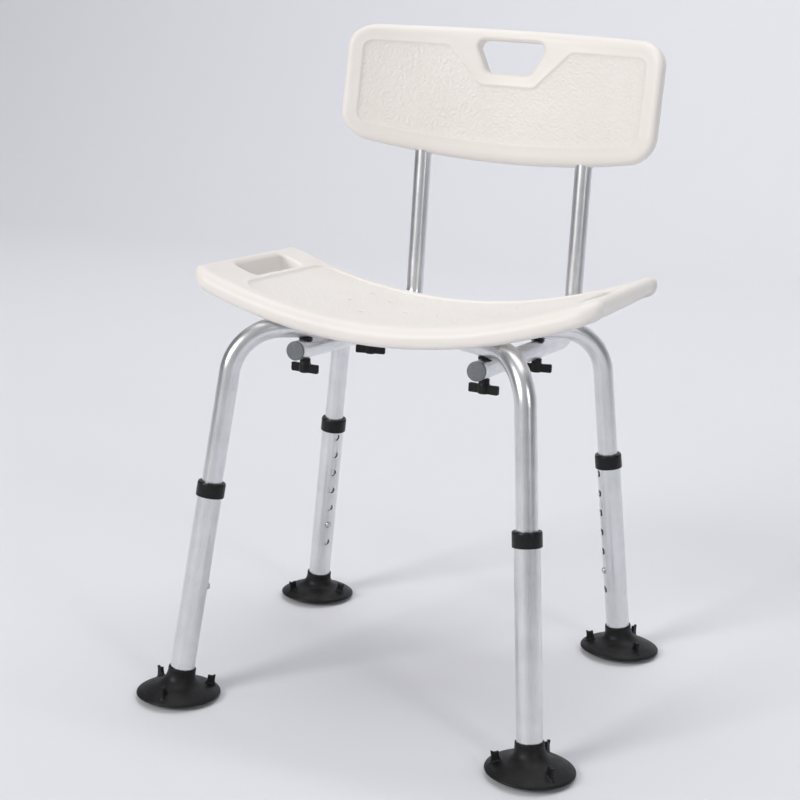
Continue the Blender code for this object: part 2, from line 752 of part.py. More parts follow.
def board_low(x):
    return BOARD_BOTTOM + BOARD_BOTTOM_RISE * x * x


def board_high(x):
    return BOARD_TOP - BOARD_TOP_DROP * x * x


def panel_low(x):
    return PANEL_BOTTOM + BOARD_BOTTOM_RISE * x * x


def panel_high(x):
    """Top edge of the sunken panel, which dips under the hand slot."""
    t = (abs(x) - NOTCH_INNER) / (NOTCH_OUTER - NOTCH_INNER)
    t = min(max(t, 0.0), 1.0)
    return NOTCH_FLOOR + (PANEL_TOP - BOARD_TOP_DROP * x * x - NOTCH_FLOOR) * t


def front_place(x, height, through):
    """Board coordinates with through measured from the board's front face."""
    return board_place(x, height, through - BOARD_THICKNESS / 2)


def build_back_board(material):
    bm = bmesh.new()
    rings = board_rings(BOARD_HALF_LENGTH, board_low, board_high, BOARD_THICKNESS,
                        BOARD_CORNER, BOARD_EDGE, even_stations(30 * MM, 170 * MM), board_place)
    skin_rings(bm, rings)
    board = make_object("back_board", bm, material)

    panel = bmesh.new()
    stations = even_stations(30 * MM, 155 * MM) + [NOTCH_INNER, NOTCH_OUTER]
    skin_rings(panel, board_rings(PANEL_HALF_LENGTH, panel_low, panel_high, 2 * PANEL_DEPTH,
                                  PANEL_CORNER, 0.0, stations, front_place))
    boolean(board, panel)

    slot = bmesh.new()
    corners = [(-GRIP_BOTTOM[0], GRIP_BOTTOM[1]), GRIP_BOTTOM, GRIP_TOP,
               (-GRIP_TOP[0], GRIP_TOP[1])]
    outline = [board_place(x, z, 0.0) for x, z in rounded_polygon(corners, BACK_SLOT_CORNER)]
    add_prism(slot, outline, -BOARD_NORMAL * CUT_REACH, BOARD_NORMAL * CUT_REACH)
    boolean(board, slot)

    sockets = bmesh.new()
    screw_holes = bmesh.new()
    screw_pockets = bmesh.new()
    for side in SIDES.values():
        add_cylinder(sockets, post_point(side, BOARD_BOTTOM - CUT_REACH),
                     post_point(side, BACK_TUBE_TOP + 2 * MM), BACK_TUBE_OUTER + GAP,
                     BACK_TUBE_SIDES)
        for height in SCREW_HEIGHTS:
            place = post_point(side, height)
            rear = place + BOARD_NORMAL * CUT_REACH
            add_cylinder(screw_holes, place, rear, SCREW_RADIUS + GAP, DRILL_SIDES)
            add_cylinder(screw_pockets, place + BOARD_NORMAL * SCREW_POCKET, rear,
                         SCREW_POCKET_RADIUS)
    for tool in (sockets, screw_holes, screw_pockets):
        boolean(board, tool)


def build_board_screws(material):
    """Pan-head screws through the rear of the back board into the posts."""
    seat = SCREW_POCKET + GAP
    head = seat + SCREW_HEAD_HEIGHT
    for side_name, side in SIDES.items():
        for level, height in zip(("lower", "upper"), SCREW_HEIGHTS):
            bm = bmesh.new()
            add_turned(bm, post_point(side, height), BOARD_NORMAL,
                       [(SCREW_RADIUS / 2, SCREW_TIP), (SCREW_RADIUS, SCREW_TIP + 2 * MM),
                        (SCREW_RADIUS, seat), (SCREW_HEAD_RADIUS, seat),
                        (SCREW_HEAD_RADIUS, (seat + head) / 2),
                        (SCREW_HEAD_RADIUS * 0.6, head)], SMALL_SIDES)
            make_object(f"board_screw_{side_name}_{level}", bm, material)


# Legs


def build_leg(name, side_x, side_y, hole, aluminium, black, rubber, steel):
    """Lower tube with its holes, collar, foot and the snap button that holds it."""
    axis = leg_axis(side_x, side_y)
    inward = snap_direction(side_x, side_y)
    collar_top = leg_point(side_x, side_y, COLLAR_TOP - hole_shift(hole))
    end = tube_end(side_x, side_y, hole)
    length = LOWER_LENGTH - COLLAR_LIP

    bm = bmesh.new()
    add_lathe(bm, end, axis, [(LOWER_INNER, -FOOT_SOCKET), (LOWER_OUTER, -FOOT_SOCKET),
                              (LOWER_OUTER, length), (LOWER_INNER, length)])
    tube = make_object(f"lower_leg_{name}", bm, aluminium, end)
    holes = bmesh.new()
    for i in range(HOLE_COUNT):
        place = collar_top - axis * (FIRST_HOLE_DROP + i * HOLE_PITCH)
        add_cylinder(holes, place + inward * SNAP_RADIUS, place + inward * CUT_REACH,
                     HOLE_RADIUS, LEG_HOLE_SIDES)
    boolean(tube, holes)

    bm = bmesh.new()
    add_lathe(bm, collar_top, axis,
              [(COLLAR_BORE, 0.0), (COLLAR_OUTER - 0.8 * MM, 0.0), (COLLAR_OUTER, -1.2 * MM),
               (COLLAR_OUTER, -COLLAR_LENGTH), (LOWER_OUTER + GAP, -COLLAR_LENGTH),
               (LOWER_OUTER + GAP, GAP - COLLAR_LIP), (LOWER_INNER - GAP, GAP - COLLAR_LIP),
               (LOWER_INNER - GAP, -LINER_LENGTH), (COLLAR_BORE, -LINER_LENGTH)])
    make_object(f"collar_{name}", bm, black, end)
    build_foot(name, foot_center(side_x, side_y, hole), end, axis, rubber)
    build_snap_button(name, leg_point(side_x, side_y, 0.0), inward, steel)
    build_snap_spring(name, leg_point(side_x, side_y, 0.0), inward, axis, steel)


def build_foot(name, center, end, axis, material):
    """Rubber suction foot: a neck square to the leg that spreads to a level round base."""

    def ring(height, radius, lean):
        normal = (UP * (1 - lean) + axis * lean).normalized()
        side, across = side_vectors(normal)
        return circle(center + axis * (height / axis.z), side, across, radius, sides=FOOT_SIDES)

    bore = LOWER_OUTER + GAP
    socket_floor = FOOT_HEIGHT - FOOT_SOCKET - 2 * GAP
    rings = [ring(FOOT_HEIGHT, bore, 1.0), ring(FOOT_HEIGHT, FOOT_NECK, 1.0)]
    rings += [ring(height * MM, radius * MM, lean) for height, radius, lean in FOOT_RINGS]
    rings += [ring(socket_floor, FOOT_CENTRE_HOLE, 1.0), ring(socket_floor, bore, 1.0)]
    bm = bmesh.new()
    skin_rings(bm, rings, closed_loop=True)
    foot = make_object(f"foot_{name}", bm, material, end)

    tabs = bmesh.new()
    for i in range(TAB_COUNT):
        angle = math.radians(FOOT_TURN[name] + 360 * i / TAB_COUNT)
        away = Vector((math.cos(angle), math.sin(angle), 0.0))
        wide = Vector((-away.y, away.x, 0.0)) * TAB_HALF_THICKNESS
        points = [center + away * r * MM + UP * z * MM for r, z in TAB_OUTLINE]
        add_prism(tabs, points, -wide, wide)
    boolean(foot, tabs, "UNION")


def build_snap_button(name, button, inward, material):
    """Sprung pin that reaches through the arch tube and one hole of the lower leg."""
    bm = bmesh.new()
    add_turned(bm, button, inward,
               [(SNAP_FLANGE, SNAP_BASE), (SNAP_FLANGE, SNAP_STEP), (SNAP_RADIUS, SNAP_STEP),
                (SNAP_RADIUS, SNAP_REACH - 2.0 * MM), (SNAP_RADIUS * 0.85, SNAP_REACH - 0.8 * MM),
                (SNAP_RADIUS * 0.45, SNAP_REACH)], SMALL_SIDES)
    make_object(f"snap_button_{name}", bm, material, button)


def build_snap_spring(name, button, inward, axis, material):
    """Bent strip inside the arch tube that pushes the snap button outwards."""
    near = SNAP_BASE - GAP
    thick = SPRING_THICKNESS
    peak = SPRING_HEIGHT
    outline = [(near, -7 * MM), (near, 7 * MM), (0.0, peak), (-4 * MM, peak),
               (-SPRING_FAR_SIDE, 7 * MM), (-SPRING_FAR_SIDE, -9 * MM),
               (thick - SPRING_FAR_SIDE, -9 * MM), (thick - SPRING_FAR_SIDE, 7 * MM),
               (-4 * MM, peak - 1.2 * thick), (0.0, peak - 1.2 * thick),
               (near - thick, 7 * MM), (near - thick, -7 * MM)]
    wide = axis.cross(inward) * SPRING_HALF_WIDTH
    bm = bmesh.new()
    add_prism(bm, [button + inward * x + axis * z for x, z in outline], -wide, wide)
    make_object(f"snap_spring_{name}", bm, material)


def main():
    clear_scene()
    ivory = make_material("ivory_plastic", (0.86, 0.82, 0.74), 0.42)
    aluminium = make_material("anodised_aluminium", (0.72, 0.73, 0.75), 0.32, 1.0)
    black = make_material("black_plastic", (0.02, 0.02, 0.022), 0.45)
    rubber = make_material("black_rubber", (0.025, 0.025, 0.027), 0.7)
    grey = make_material("grey_plastic", (0.17, 0.18, 0.2), 0.5)
    steel = make_material("stainless_steel", (0.6, 0.6, 0.6), 0.3, 1.0)
    brass = make_material("brass", (0.7, 0.52, 0.25), 0.35, 1.0)

    build_seat(ivory)
    build_back_board(ivory)
    build_board_screws(steel)
    build_arch("leg_arch_upper", 1, UPPER_CRIMP_LIFT, aluminium)
    build_arch("leg_arch_lower", -1, LOWER_CRIMP_LIFT, aluminium)
    build_centre_bolt(steel)
    for name, side_x in SIDES.items():
        build_back_tube(side_x, name, aluminium)
        build_end_cap(side_x, name, grey)
    build_fixings(brass, steel, black)
    for name, (side_x, side_y, hole) in LEGS.items():
        build_leg(name, side_x, side_y, hole, aluminium, black, rubber, steel)


main()
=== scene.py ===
"""Looks of the shower chair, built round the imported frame.

Shapes are worked out in the chair's own coordinates, where the arches are level and z is 0
at the snap buttons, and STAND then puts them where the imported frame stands.
"""
import json
import math

import bpy
import numpy as np
from mathutils import Matrix, Vector
from mathutils.geometry import delaunay_2d_cdt


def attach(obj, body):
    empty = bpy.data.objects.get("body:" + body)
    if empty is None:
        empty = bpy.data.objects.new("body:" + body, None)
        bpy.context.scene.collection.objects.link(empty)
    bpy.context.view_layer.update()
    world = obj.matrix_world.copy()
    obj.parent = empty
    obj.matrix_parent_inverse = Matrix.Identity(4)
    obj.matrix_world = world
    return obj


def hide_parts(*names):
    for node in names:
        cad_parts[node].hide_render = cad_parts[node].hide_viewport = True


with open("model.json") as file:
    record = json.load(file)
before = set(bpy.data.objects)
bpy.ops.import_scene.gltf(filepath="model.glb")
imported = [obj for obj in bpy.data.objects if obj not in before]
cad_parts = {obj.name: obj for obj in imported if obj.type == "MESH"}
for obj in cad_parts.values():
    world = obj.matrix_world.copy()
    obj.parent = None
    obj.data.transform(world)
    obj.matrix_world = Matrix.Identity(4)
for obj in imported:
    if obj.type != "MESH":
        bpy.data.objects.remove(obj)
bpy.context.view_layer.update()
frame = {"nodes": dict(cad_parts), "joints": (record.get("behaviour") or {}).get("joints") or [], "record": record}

MM = 0.001
GAP = 0.3 * MM

# Sizes shared with the CAD
LEG_X, LEG_Y = 206 * MM, 167 * MM
LEG_SPLAY = 0.1354
HOLE_PITCH = 25.4 * MM
HOLE_COUNT = 7
HOLE_RADIUS = 4.3 * MM
FIRST_HOLE_DROP = 24 * MM
REAR_HOLE, FRONT_HOLE = 6, 5
LOWER_OUTER, LOWER_INNER = 14.3 * MM, 13.1 * MM
LOWER_LENGTH = 226 * MM
COLLAR_BORE, COLLAR_OUTER, COLLAR_LENGTH = 12.45 * MM, 16.5 * MM, 17.5 * MM
COLLAR_LIP, LINER_LENGTH = 2.5 * MM, 19 * MM
ARCH_OUTER, ARCH_WALL = 12 * MM, 1.2 * MM
ARCH_BEND = 60 * MM
ARCH_END_DROP = 35 * MM
CRIMP_FLAT, CRIMP_END = 20 * MM, 46 * MM
CRIMP_HALF_HEIGHT, CRIMP_HALF_WIDTH = 5.8 * MM, 15 * MM
UPPER_CRIMP_LIFT, LOWER_CRIMP_LIFT = 1 * MM, -11 * MM
BACK_TUBE_X = 111 * MM
BACK_TUBE_OUTER, BACK_TUBE_WALL = 11.1 * MM, 1.2 * MM
BACK_TUBE_Z, BACK_TUBE_FRONT = 281 * MM, -114 * MM
BACK_TUBE_BEND, BACK_TUBE_TOP = 50 * MM, 598 * MM
POST_Y, POST_Z, RECLINE = 228 * MM, 400 * MM, 0.046
SADDLE_WEB, SADDLE_RADIUS, SADDLE_WRAP = 1.2 * MM, 8 * MM, 1.6 * MM
SEAT_FRONT, SEAT_REAR, SEAT_HALF_LENGTH = -132 * MM, 126 * MM, 250 * MM
SEAT_THICKNESS, SEAT_TOP, SEAT_BEND, SEAT_PITCH = 24 * MM, 325.8 * MM, 0.854, 0.036
SEAT_DECK = 8 * MM
BOARD_HALF_LENGTH, BOARD_TOP, BOARD_BOTTOM = 213 * MM, 667 * MM, 496.5 * MM
BOARD_MIDDLE, BOARD_THICKNESS, BOARD_BEND = 585 * MM, 30 * MM, -1.1
BOARD_BOTTOM_RISE, BOARD_TOP_DROP = 0.42, 0.20
BOARD_ASKEW = math.radians(2.5)
FOOT_HEIGHT, FOOT_SOCKET = 32 * MM, 16 * MM
SCREW_HEIGHTS = (530 * MM, 575 * MM)
SCREW_POCKET, SCREW_POCKET_RADIUS = 13.2 * MM, 5.5 * MM

# Side across, side in depth, hole that the button is in, turn of the foot's tabs in degrees
LEGS = {
    "front_left": (-1, -1, FRONT_HOLE, 36),
    "front_right": (1, -1, FRONT_HOLE, 82),
    "rear_left": (-1, 1, REAR_HOLE, 113),
    "rear_right": (1, 1, REAR_HOLE, 78),
}
SIDES = {"left": -1, "right": 1}

UP = Vector((0, 0, 1))
ACROSS = Vector((1, 0, 0))
LEG_SPAN = math.hypot(LEG_X, LEG_Y)
ARCH_Z = BACK_TUBE_Z + BACK_TUBE_OUTER + SADDLE_WEB + ARCH_OUTER
COLLAR_TOP = FIRST_HOLE_DROP + (REAR_HOLE - 1) * HOLE_PITCH
KNOB_TOP = BACK_TUBE_Z - BACK_TUBE_OUTER - GAP
BOLT_Y = BACK_TUBE_X * LEG_Y / LEG_X
BOARD_UP = Vector((0, RECLINE, 1)).normalized()
BOARD_NORMAL = Vector((0, 1, -RECLINE)).normalized()

JOINTS = {joint["name"]: joint for joint in frame["joints"]}


def standing_transform():
    """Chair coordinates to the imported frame, from the four knobs' joints."""
    knobs = [JOINTS[f"knob_turn_{leg}"] for leg in LEGS]
    up = Vector(knobs[0]["axis"])
    turn = Matrix.Rotation(-math.atan2(up.y, up.z), 4, "X")
    middle = sum((Vector(knob["pos_m"]) for knob in knobs), Vector()) / len(knobs)
    return Matrix.Translation(middle - turn @ (UP * KNOB_TOP)) @ turn


STAND = standing_transform()
STAND_TURN = STAND.to_3x3()


def outward(side_x, side_y):
    return Vector((side_x * LEG_X, side_y * LEG_Y, 0)) / LEG_SPAN


def leg_axis(side_x, side_y):
    return (UP - outward(side_x, side_y) * LEG_SPLAY).normalized()


def leg_point(side_x, side_y, along):
    """Point on a leg's axis, measured up from its snap button."""
    return outward(side_x, side_y) * LEG_SPAN + leg_axis(side_x, side_y) * along


def snap_direction(side_x, side_y):
    axis = leg_axis(side_x, side_y)
    inward = -outward(side_x, side_y)
    return (inward - axis * axis.dot(inward)).normalized()


def post_point(x, height):
    return Vector((x, POST_Y + RECLINE * (height - POST_Z), height))


# Materials


class Nodes:
    """Short hand for building one material's node tree."""

    def __init__(self, name):
        self.material = bpy.data.materials.new(name)
        self.material.use_nodes = True
        self.tree = self.material.node_tree
        self.shader = self.tree.nodes["Principled BSDF"]

    def set(self, **values):
        for socket, value in values.items():
            self.shader.inputs[socket.replace("_", " ")].default_value = value

    def add(self, kind, inputs=None, **settings):
        node = self.tree.nodes.new("ShaderNode" + kind)
        for key, value in settings.items():
            setattr(node, key, value)
        for key, value in (inputs or {}).items():
            self.feed(node.inputs[key], value)
        return node

    def feed(self, socket, value):
        if isinstance(value, bpy.types.NodeSocket):
            self.tree.links.new(value, socket)
        else:
            socket.default_value = value

    def link(self, socket, value):
        self.feed(self.shader.inputs[socket], value)

    def noise(self, vector, scale, detail=2.0, roughness=0.5):
        node = self.add("TexNoise", {"Vector": vector, "Scale": scale, "Detail": detail,
                                     "Roughness": roughness})
        return node.outputs["Fac"]

    def range(self, value, low, high, from_low=0.0, from_high=1.0):
        node = self.add("MapRange", {"Value": value, "From Min": from_low,
                                     "From Max": from_high, "To Min": low, "To Max": high})
        return node.outputs["Result"]

    def ramp(self, value, stops):
        node = self.add("ValToRGB", {"Fac": value})
        elements = node.color_ramp.elements
        while len(elements) < len(stops):
            elements.new(0.5)
        for element, (place, color) in zip(elements, stops):
            element.position = place
            element.color = (*color, 1.0)
        return node.outputs["Color"]

    def math(self, operation, first, second):
        node = self.add("Math", {0: first, 1: second}, operation=operation)
        return node.outputs[0]

    def bump(self, height, strength, distance, normal=None):
        inputs = {"Height": height, "Strength": strength, "Distance": distance}
        if normal is not None:
            inputs["Normal"] = normal
        return self.add("Bump", inputs).outputs["Normal"]

    def stretched(self, vector, scale):
        return self.add("Mapping", {"Vector": vector, "Scale": scale}).outputs["Vector"]


def plastic_material():
    """Ivory moulded plastic, with a fine leather grain where the grain attribute is 1."""
    n = Nodes("ivory_plastic_look")
    place = n.add("TexCoord").outputs["Object"]
    mask = n.add("Attribute", attribute_name="grain").outputs["Fac"]
    tint = n.noise(place, 9.0, 3.0)
    n.link("Base Color", n.ramp(tint, [(0.3, (0.84, 0.795, 0.75)), (0.7, (0.87, 0.83, 0.785))]))
    n.link("Roughness", n.range(n.noise(place, 60.0, 3.0), 0.34, 0.44))
    n.set(Specular_IOR_Level=0.4, Subsurface_Weight=0.06, Subsurface_Scale=0.003)
    n.shader.inputs["Subsurface Radius"].default_value = (1.0, 0.75, 0.5)
    warp = n.add("VectorMath", {0: n.noise(place, 150.0, 2.0), "Scale": 0.003},
                 operation="SCALE").outputs[0]
    moved = n.add("VectorMath", {0: place, 1: warp}, operation="ADD").outputs[0]
    cells = n.add("TexVoronoi", {"Vector": moved, "Scale": 300.0},
                  feature="SMOOTH_F1").outputs["Distance"]
    fine = n.math("MULTIPLY", n.noise(place, 900.0, 2.0), 0.3)
    pebbles = n.math("ADD", cells, fine)
    grain = n.math("MULTIPLY", pebbles, mask)
    orange_peel = n.noise(place, 160.0, 2.0)
    soft = n.bump(orange_peel, 0.12, 0.0006)
    n.link("Normal", n.bump(grain, 0.6, 0.0019, soft))
    return n.material


def aluminium_material():
    """Satin anodised tube with fine drawing lines along it."""
    n = Nodes("anodised_aluminium_look")
    along = n.add("UVMap").outputs["UV"]
    place = n.add("TexCoord").outputs["Object"]
    lines = n.noise(n.stretched(along, (5200.0, 26.0, 1.0)), 1.0, 3.0, 0.6)
    cloud = n.noise(place, 28.0, 3.0)
    n.link("Base Color", n.ramp(cloud, [(0.35, (0.74, 0.75, 0.765)), (0.65, (0.81, 0.815, 0.83))]))
    n.set(Metallic=1.0)
    rough = n.math("ADD", n.range(lines, 0.24, 0.34, 0.3, 0.7), n.range(cloud, -0.02, 0.03))
    n.link("Roughness", rough)
    n.link("Normal", n.bump(lines, 0.05, 0.0003))
    return n.material


def moulded_material(name, dark, light, scales, rough_low, rough_high, bump, specular):
    """Hard moulded plastic. The scales are those of its tint, its gloss and its fine bumps."""
    n = Nodes(name)
    place = n.add("TexCoord").outputs["Object"]
    tint, gloss, fine = scales
    n.link("Base Color", n.ramp(n.noise(place, tint, 3.0), [dark, light]))
    n.link("Roughness", n.range(n.noise(place, *gloss), rough_low, rough_high))
    n.set(Specular_IOR_Level=specular)
    n.link("Normal", n.bump(n.noise(place, fine, 2.0), bump, 0.0003))
    return n.material


def rubber_material():
    """Matt moulded rubber, with a little dust in random patches."""
    n = Nodes("black_rubber_look")
    place = n.add("TexCoord").outputs["Object"]
    dust = n.noise(place, 55.0, 5.0, 0.65)
    n.link("Base Color", n.ramp(dust, [(0.42, (0.003, 0.003, 0.0035)), (0.75, (0.011, 0.011, 0.012))]))
    n.link("Roughness", n.range(n.noise(place, 140.0, 4.0), 0.38, 0.58))
    n.set(Specular_IOR_Level=0.28)
    soft = n.bump(n.noise(place, 90.0, 2.0), 0.10, 0.0010)
    n.link("Normal", n.bump(n.noise(place, 1100.0, 3.0), 0.22, 0.0004, soft))
    return n.material


def metal_material(name, dark, light, rough_low, rough_high):
    """Turned or pressed fixing metal with fine scratches."""
    n = Nodes(name)
    place = n.add("TexCoord").outputs["Object"]
    n.link("Base Color", n.ramp(n.noise(place, 260.0, 3.0), [(0.35, dark), (0.65, light)]))
    n.set(Metallic=1.0)
    scratches = n.noise(n.stretched(place, (2600.0, 400.0, 400.0)), 1.0, 2.0)
    n.link("Roughness", n.range(scratches, rough_low, rough_high))
    n.link("Normal", n.bump(scratches, 0.08, 0.0002))
    return n.material


MATERIALS = {
    "ivory_plastic": plastic_material(),
    "anodised_aluminium": aluminium_material(),
    "black_plastic": moulded_material(
        "black_plastic_look", (0.35, (0.004, 0.004, 0.0045)), (0.65, (0.009, 0.009, 0.010)),
        (120.0, (300.0, 3.0), 1500.0), 0.30, 0.46, 0.15, 0.3),
    "black_rubber": rubber_material(),
    "grey_plastic": moulded_material(
        "grey_plastic_look", (0.3, (0.135, 0.145, 0.16)), (0.7, (0.165, 0.175, 0.19)),
        (200.0, (500.0, 2.0), 2200.0), 0.45, 0.6, 0.18, 0.5),
    "stainless_steel": metal_material("stainless_steel_look", (0.52, 0.52, 0.53),
                                      (0.62, 0.62, 0.63), 0.2, 0.38),
    "brass": metal_material("brass_look", (0.60, 0.44, 0.20), (0.72, 0.55, 0.28), 0.25, 0.4),
}


# Pieces


def standing_mesh(name, points, faces):
    """Mesh from points in chair coordinates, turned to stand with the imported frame."""
    mesh = bpy.data.meshes.new(name)
    mesh.from_pydata([tuple(point) for point in points], [], faces)
    mesh.transform(STAND)
    return mesh


def add_piece(name, points, faces, slot, body, nodes, uvs=None, sharp=35):
    """Make a piece from points in chair coordinates and tie it to the frame."""
    mesh = standing_mesh(name, points, faces)
    if uvs is not None:
        layer = mesh.uv_layers.new(name="UVMap")
        layer.data.foreach_set("uv", np.asarray(uvs, np.float32).ravel())
    mesh.materials.append(MATERIALS[slot])
    mesh.shade_smooth()
    mesh.set_sharp_from_angle(angle=math.radians(sharp))
    piece = bpy.data.objects.new(name, mesh)
    bpy.context.scene.collection.objects.link(piece)
    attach(piece, body)
    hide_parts(*nodes)
    return piece


def apply_modifiers(piece):
    """Replace a piece's mesh with the evaluated one and drop its modifiers."""
    depsgraph = bpy.context.evaluated_depsgraph_get()
    mesh = bpy.data.meshes.new_from_object(piece.evaluated_get(depsgraph))
    piece.modifiers.clear()
    piece.data = mesh


def cut(piece, tool, operation="DIFFERENCE"):
    """Apply a Boolean with a tool object, and remove the tool."""
    modifier = piece.modifiers.new("cut", "BOOLEAN")
    modifier.operation = operation
    modifier.solver = "EXACT"
    modifier.object = tool
    apply_modifiers(piece)
    bpy.data.objects.remove(tool)


def tool_object(points, faces):
    tool = bpy.data.objects.new("tool", standing_mesh("tool", points, faces))
    bpy.context.scene.collection.objects.link(tool)
    return tool


def soften(piece, voxel, rounds):
    """Melt a piece's overlapping shells into one moulded skin with soft edges."""
    remesh = piece.modifiers.new("skin", "REMESH")
    remesh.mode = "VOXEL"
    remesh.voxel_size = voxel
    remesh.use_smooth_shade = True
    smooth = piece.modifiers.new("soft", "SMOOTH")
    smooth.factor = 0.5
    smooth.iterations = rounds
    apply_modifiers(piece)


def ring_mesh(rings, loop=False):
    """Points, faces and UVs in metres of rings joined by quads."""
    rings = np.asarray(rings, float)
    count, sides, _ = rings.shape
    points = rings.reshape(-1, 3)
    centers = rings.mean(axis=1)
    steps = np.linalg.norm(rings[1:, 0] - rings[:-1, 0], axis=1)
    along = np.concatenate([[0.0], np.cumsum(steps)])
    around = 2 * math.pi * np.linalg.norm(rings[count // 2, 0] - centers[count // 2]) / sides
    faces = []
    uvs = []
    last = count if loop else count - 1
    for k in range(last):
        after = (k + 1) % count
        v0 = along[k]
        v1 = along[after] if after else along[k] + MM
        for i in range(sides):
            j = (i + 1) % sides
            faces.append((k * sides + i, k * sides + j, after * sides + j, after * sides + i))
            uvs += [(i * around, v0), ((i + 1) * around, v0),
                    ((i + 1) * around, v1), (i * around, v1)]
    if not loop:
        for start in (0, (count - 1) * sides):
            cap = list(range(start, start + sides))
            faces.append(cap[::-1] if start == 0 else cap)
            uvs += [(0.0, 0.0)] * sides
    return points, faces, uvs


def side_vectors(axis):
    helper = ACROSS if abs(axis.dot(ACROSS)) < 0.9 else Vector((0, 1, 0))
    side = (helper - axis * axis.dot(helper)).normalized()
    return side, axis.cross(side)


def circle(center, side, normal, radius, height=None, sides=48):
    height = radius if height is None else height
    angles = np.linspace(0, 2 * math.pi, sides, endpoint=False)
    across = np.outer(np.cos(angles) * radius, side)
    upward = np.outer(np.sin(angles) * height, normal)
    return np.asarray(center) + across + upward


def lathe(start, axis, profile, sides=64, loop=False):
    """Rings of a turned shape from (radius, height) points, capped unless it is a loop."""
    side, normal = side_vectors(axis)
    rings = [circle(start + axis * height, side, normal, radius, sides=sides)
             for radius, height in profile]
    return ring_mesh(rings, loop)


def cylinder(start, end, radius, sides=48):
    axis = (end - start).normalized()
    return lathe(start, axis, [(radius, 0.0), (radius, (end - start).length)], sides)


def merged(*solids):
    """Several (points, faces, uvs) as one."""
    points, faces = [], []
    for part_points, part_faces, _ in solids:
        base = len(points)
        points += [tuple(point) for point in part_points]
        faces += [tuple(i + base for i in face) for face in part_faces]
    return points, faces


def fillet_profile(corners, steps=5):
    """Profile of (radius, height, round) corners, each rounded by its own radius."""
    points = []
    last = len(corners) - 1
    for i, (r, h, size) in enumerate(corners):
        corner = Vector((r, h))
        if size <= 0 or i in (0, last):
            points.append(tuple(corner))
            continue
        points += [tuple(p) for p in arc_at(Vector(corners[i - 1][:2]), corner,
                                            Vector(corners[i + 1][:2]), size, steps)]
    return points


def arc_at(before, corner, after, radius, steps):
    """Points of the arc that rounds a corner between two straight runs."""
    back = (before - corner).normalized()
    ahead = (after - corner).normalized()
    half = back.angle(ahead) / 2
    center = corner + (back + ahead).normalized() * radius / math.sin(half)
    first = corner + back * radius / math.tan(half) - center
    last = corner + ahead * radius / math.tan(half) - center
    sweep = first.angle(last)
    arc = []
    for step in range(steps + 1):
        t = step / steps
        blend = first * math.sin((1 - t) * sweep) + last * math.sin(t * sweep)
        arc.append(center + blend / math.sin(sweep))
    return arc


def rounded_loop(corners, radius, steps=8):
    """Closed 2-D loop of corners, each rounded by the same radius."""
    points = []
    count = len(corners)
    for i, corner in enumerate(corners):
        points += arc_at(Vector(corners[i - 1]), Vector(corner),
                         Vector(corners[(i + 1) % count]), radius, steps)
    return np.array([tuple(point) for point in points])


def subdivided(loop, spacing):
    """A closed loop with points added so that no step is longer than the spacing."""
    result = []
    for start, end in zip(loop, np.roll(loop, -1, axis=0)):
        steps = max(int(math.ceil(np.linalg.norm(end - start) / spacing)), 1)
        for step in range(steps):
            result.append(start + (end - start) * step / steps)
    return np.array(result)


def loop_normals(loop):
    """Outward unit normals of a closed anticlockwise loop."""
    ahead = np.roll(loop, -1, axis=0) - loop
    ahead /= np.linalg.norm(ahead, axis=1)[:, None]
    tangent = ahead + np.roll(ahead, 1, axis=0)
    tangent /= np.linalg.norm(tangent, axis=1)[:, None]
    return np.stack([tangent[:, 1], -tangent[:, 0]], axis=1)


def grown(loop, distance):
    return loop + loop_normals(loop) * distance


def signed_distance(points, loop):
    """Distance of 2-D points to a closed loop, negative inside it."""
    best = np.full(len(points), 1e9)
    inside = np.zeros(len(points), bool)
    x, y = points[:, 0], points[:, 1]
    for (x0, y0), (x1, y1) in zip(loop, np.roll(loop, -1, axis=0)):
        dx, dy = x1 - x0, y1 - y0
        t = np.clip(((x - x0) * dx + (y - y0) * dy) / (dx * dx + dy * dy), 0, 1)
        best = np.minimum(best, np.hypot(x - x0 - t * dx, y - y0 - t * dy))
        crosses = (y0 > y) != (y1 > y)
        if dy != 0:
            inside ^= crosses & (x < dx * (y - y0) / dy + x0)
    return np.where(inside, -best, best)


def smoothstep(value, low, high):
    t = np.clip((value - low) / (high - low), 0, 1)
    return t * t * (3 - 2 * t)


def edge_drop(distance, radius):
    """How far a rounded edge has dropped at this distance inside it."""
    inner = np.clip(radius - np.abs(distance), 0, radius)
    return radius - np.sqrt(radius ** 2 - inner ** 2)


ROUND_STEPS = tuple(1 - math.cos(math.radians(angle)) for angle in (14, 28, 42, 56, 72, 90))


def clear_grid(outline, openings, guides, spacing):
    """Grid points inside the outline that keep clear of every loop and opening."""
    low, high = outline.min(axis=0), outline.max(axis=0)
    xs = np.arange(low[0] + spacing, high[0], spacing)
    ys = np.arange(low[1] + spacing, high[1], spacing)
    grid = np.stack(np.meshgrid(xs, ys), axis=-1).reshape(-1, 2)
    clear = signed_distance(grid, outline) < -spacing * 0.6
    for loop in [*openings, *guides]:
        distance = signed_distance(grid, loop)
        clear &= np.abs(distance) > spacing * 0.45
    for opening in openings:
        clear &= signed_distance(grid, opening) > 0
    return grid[clear]


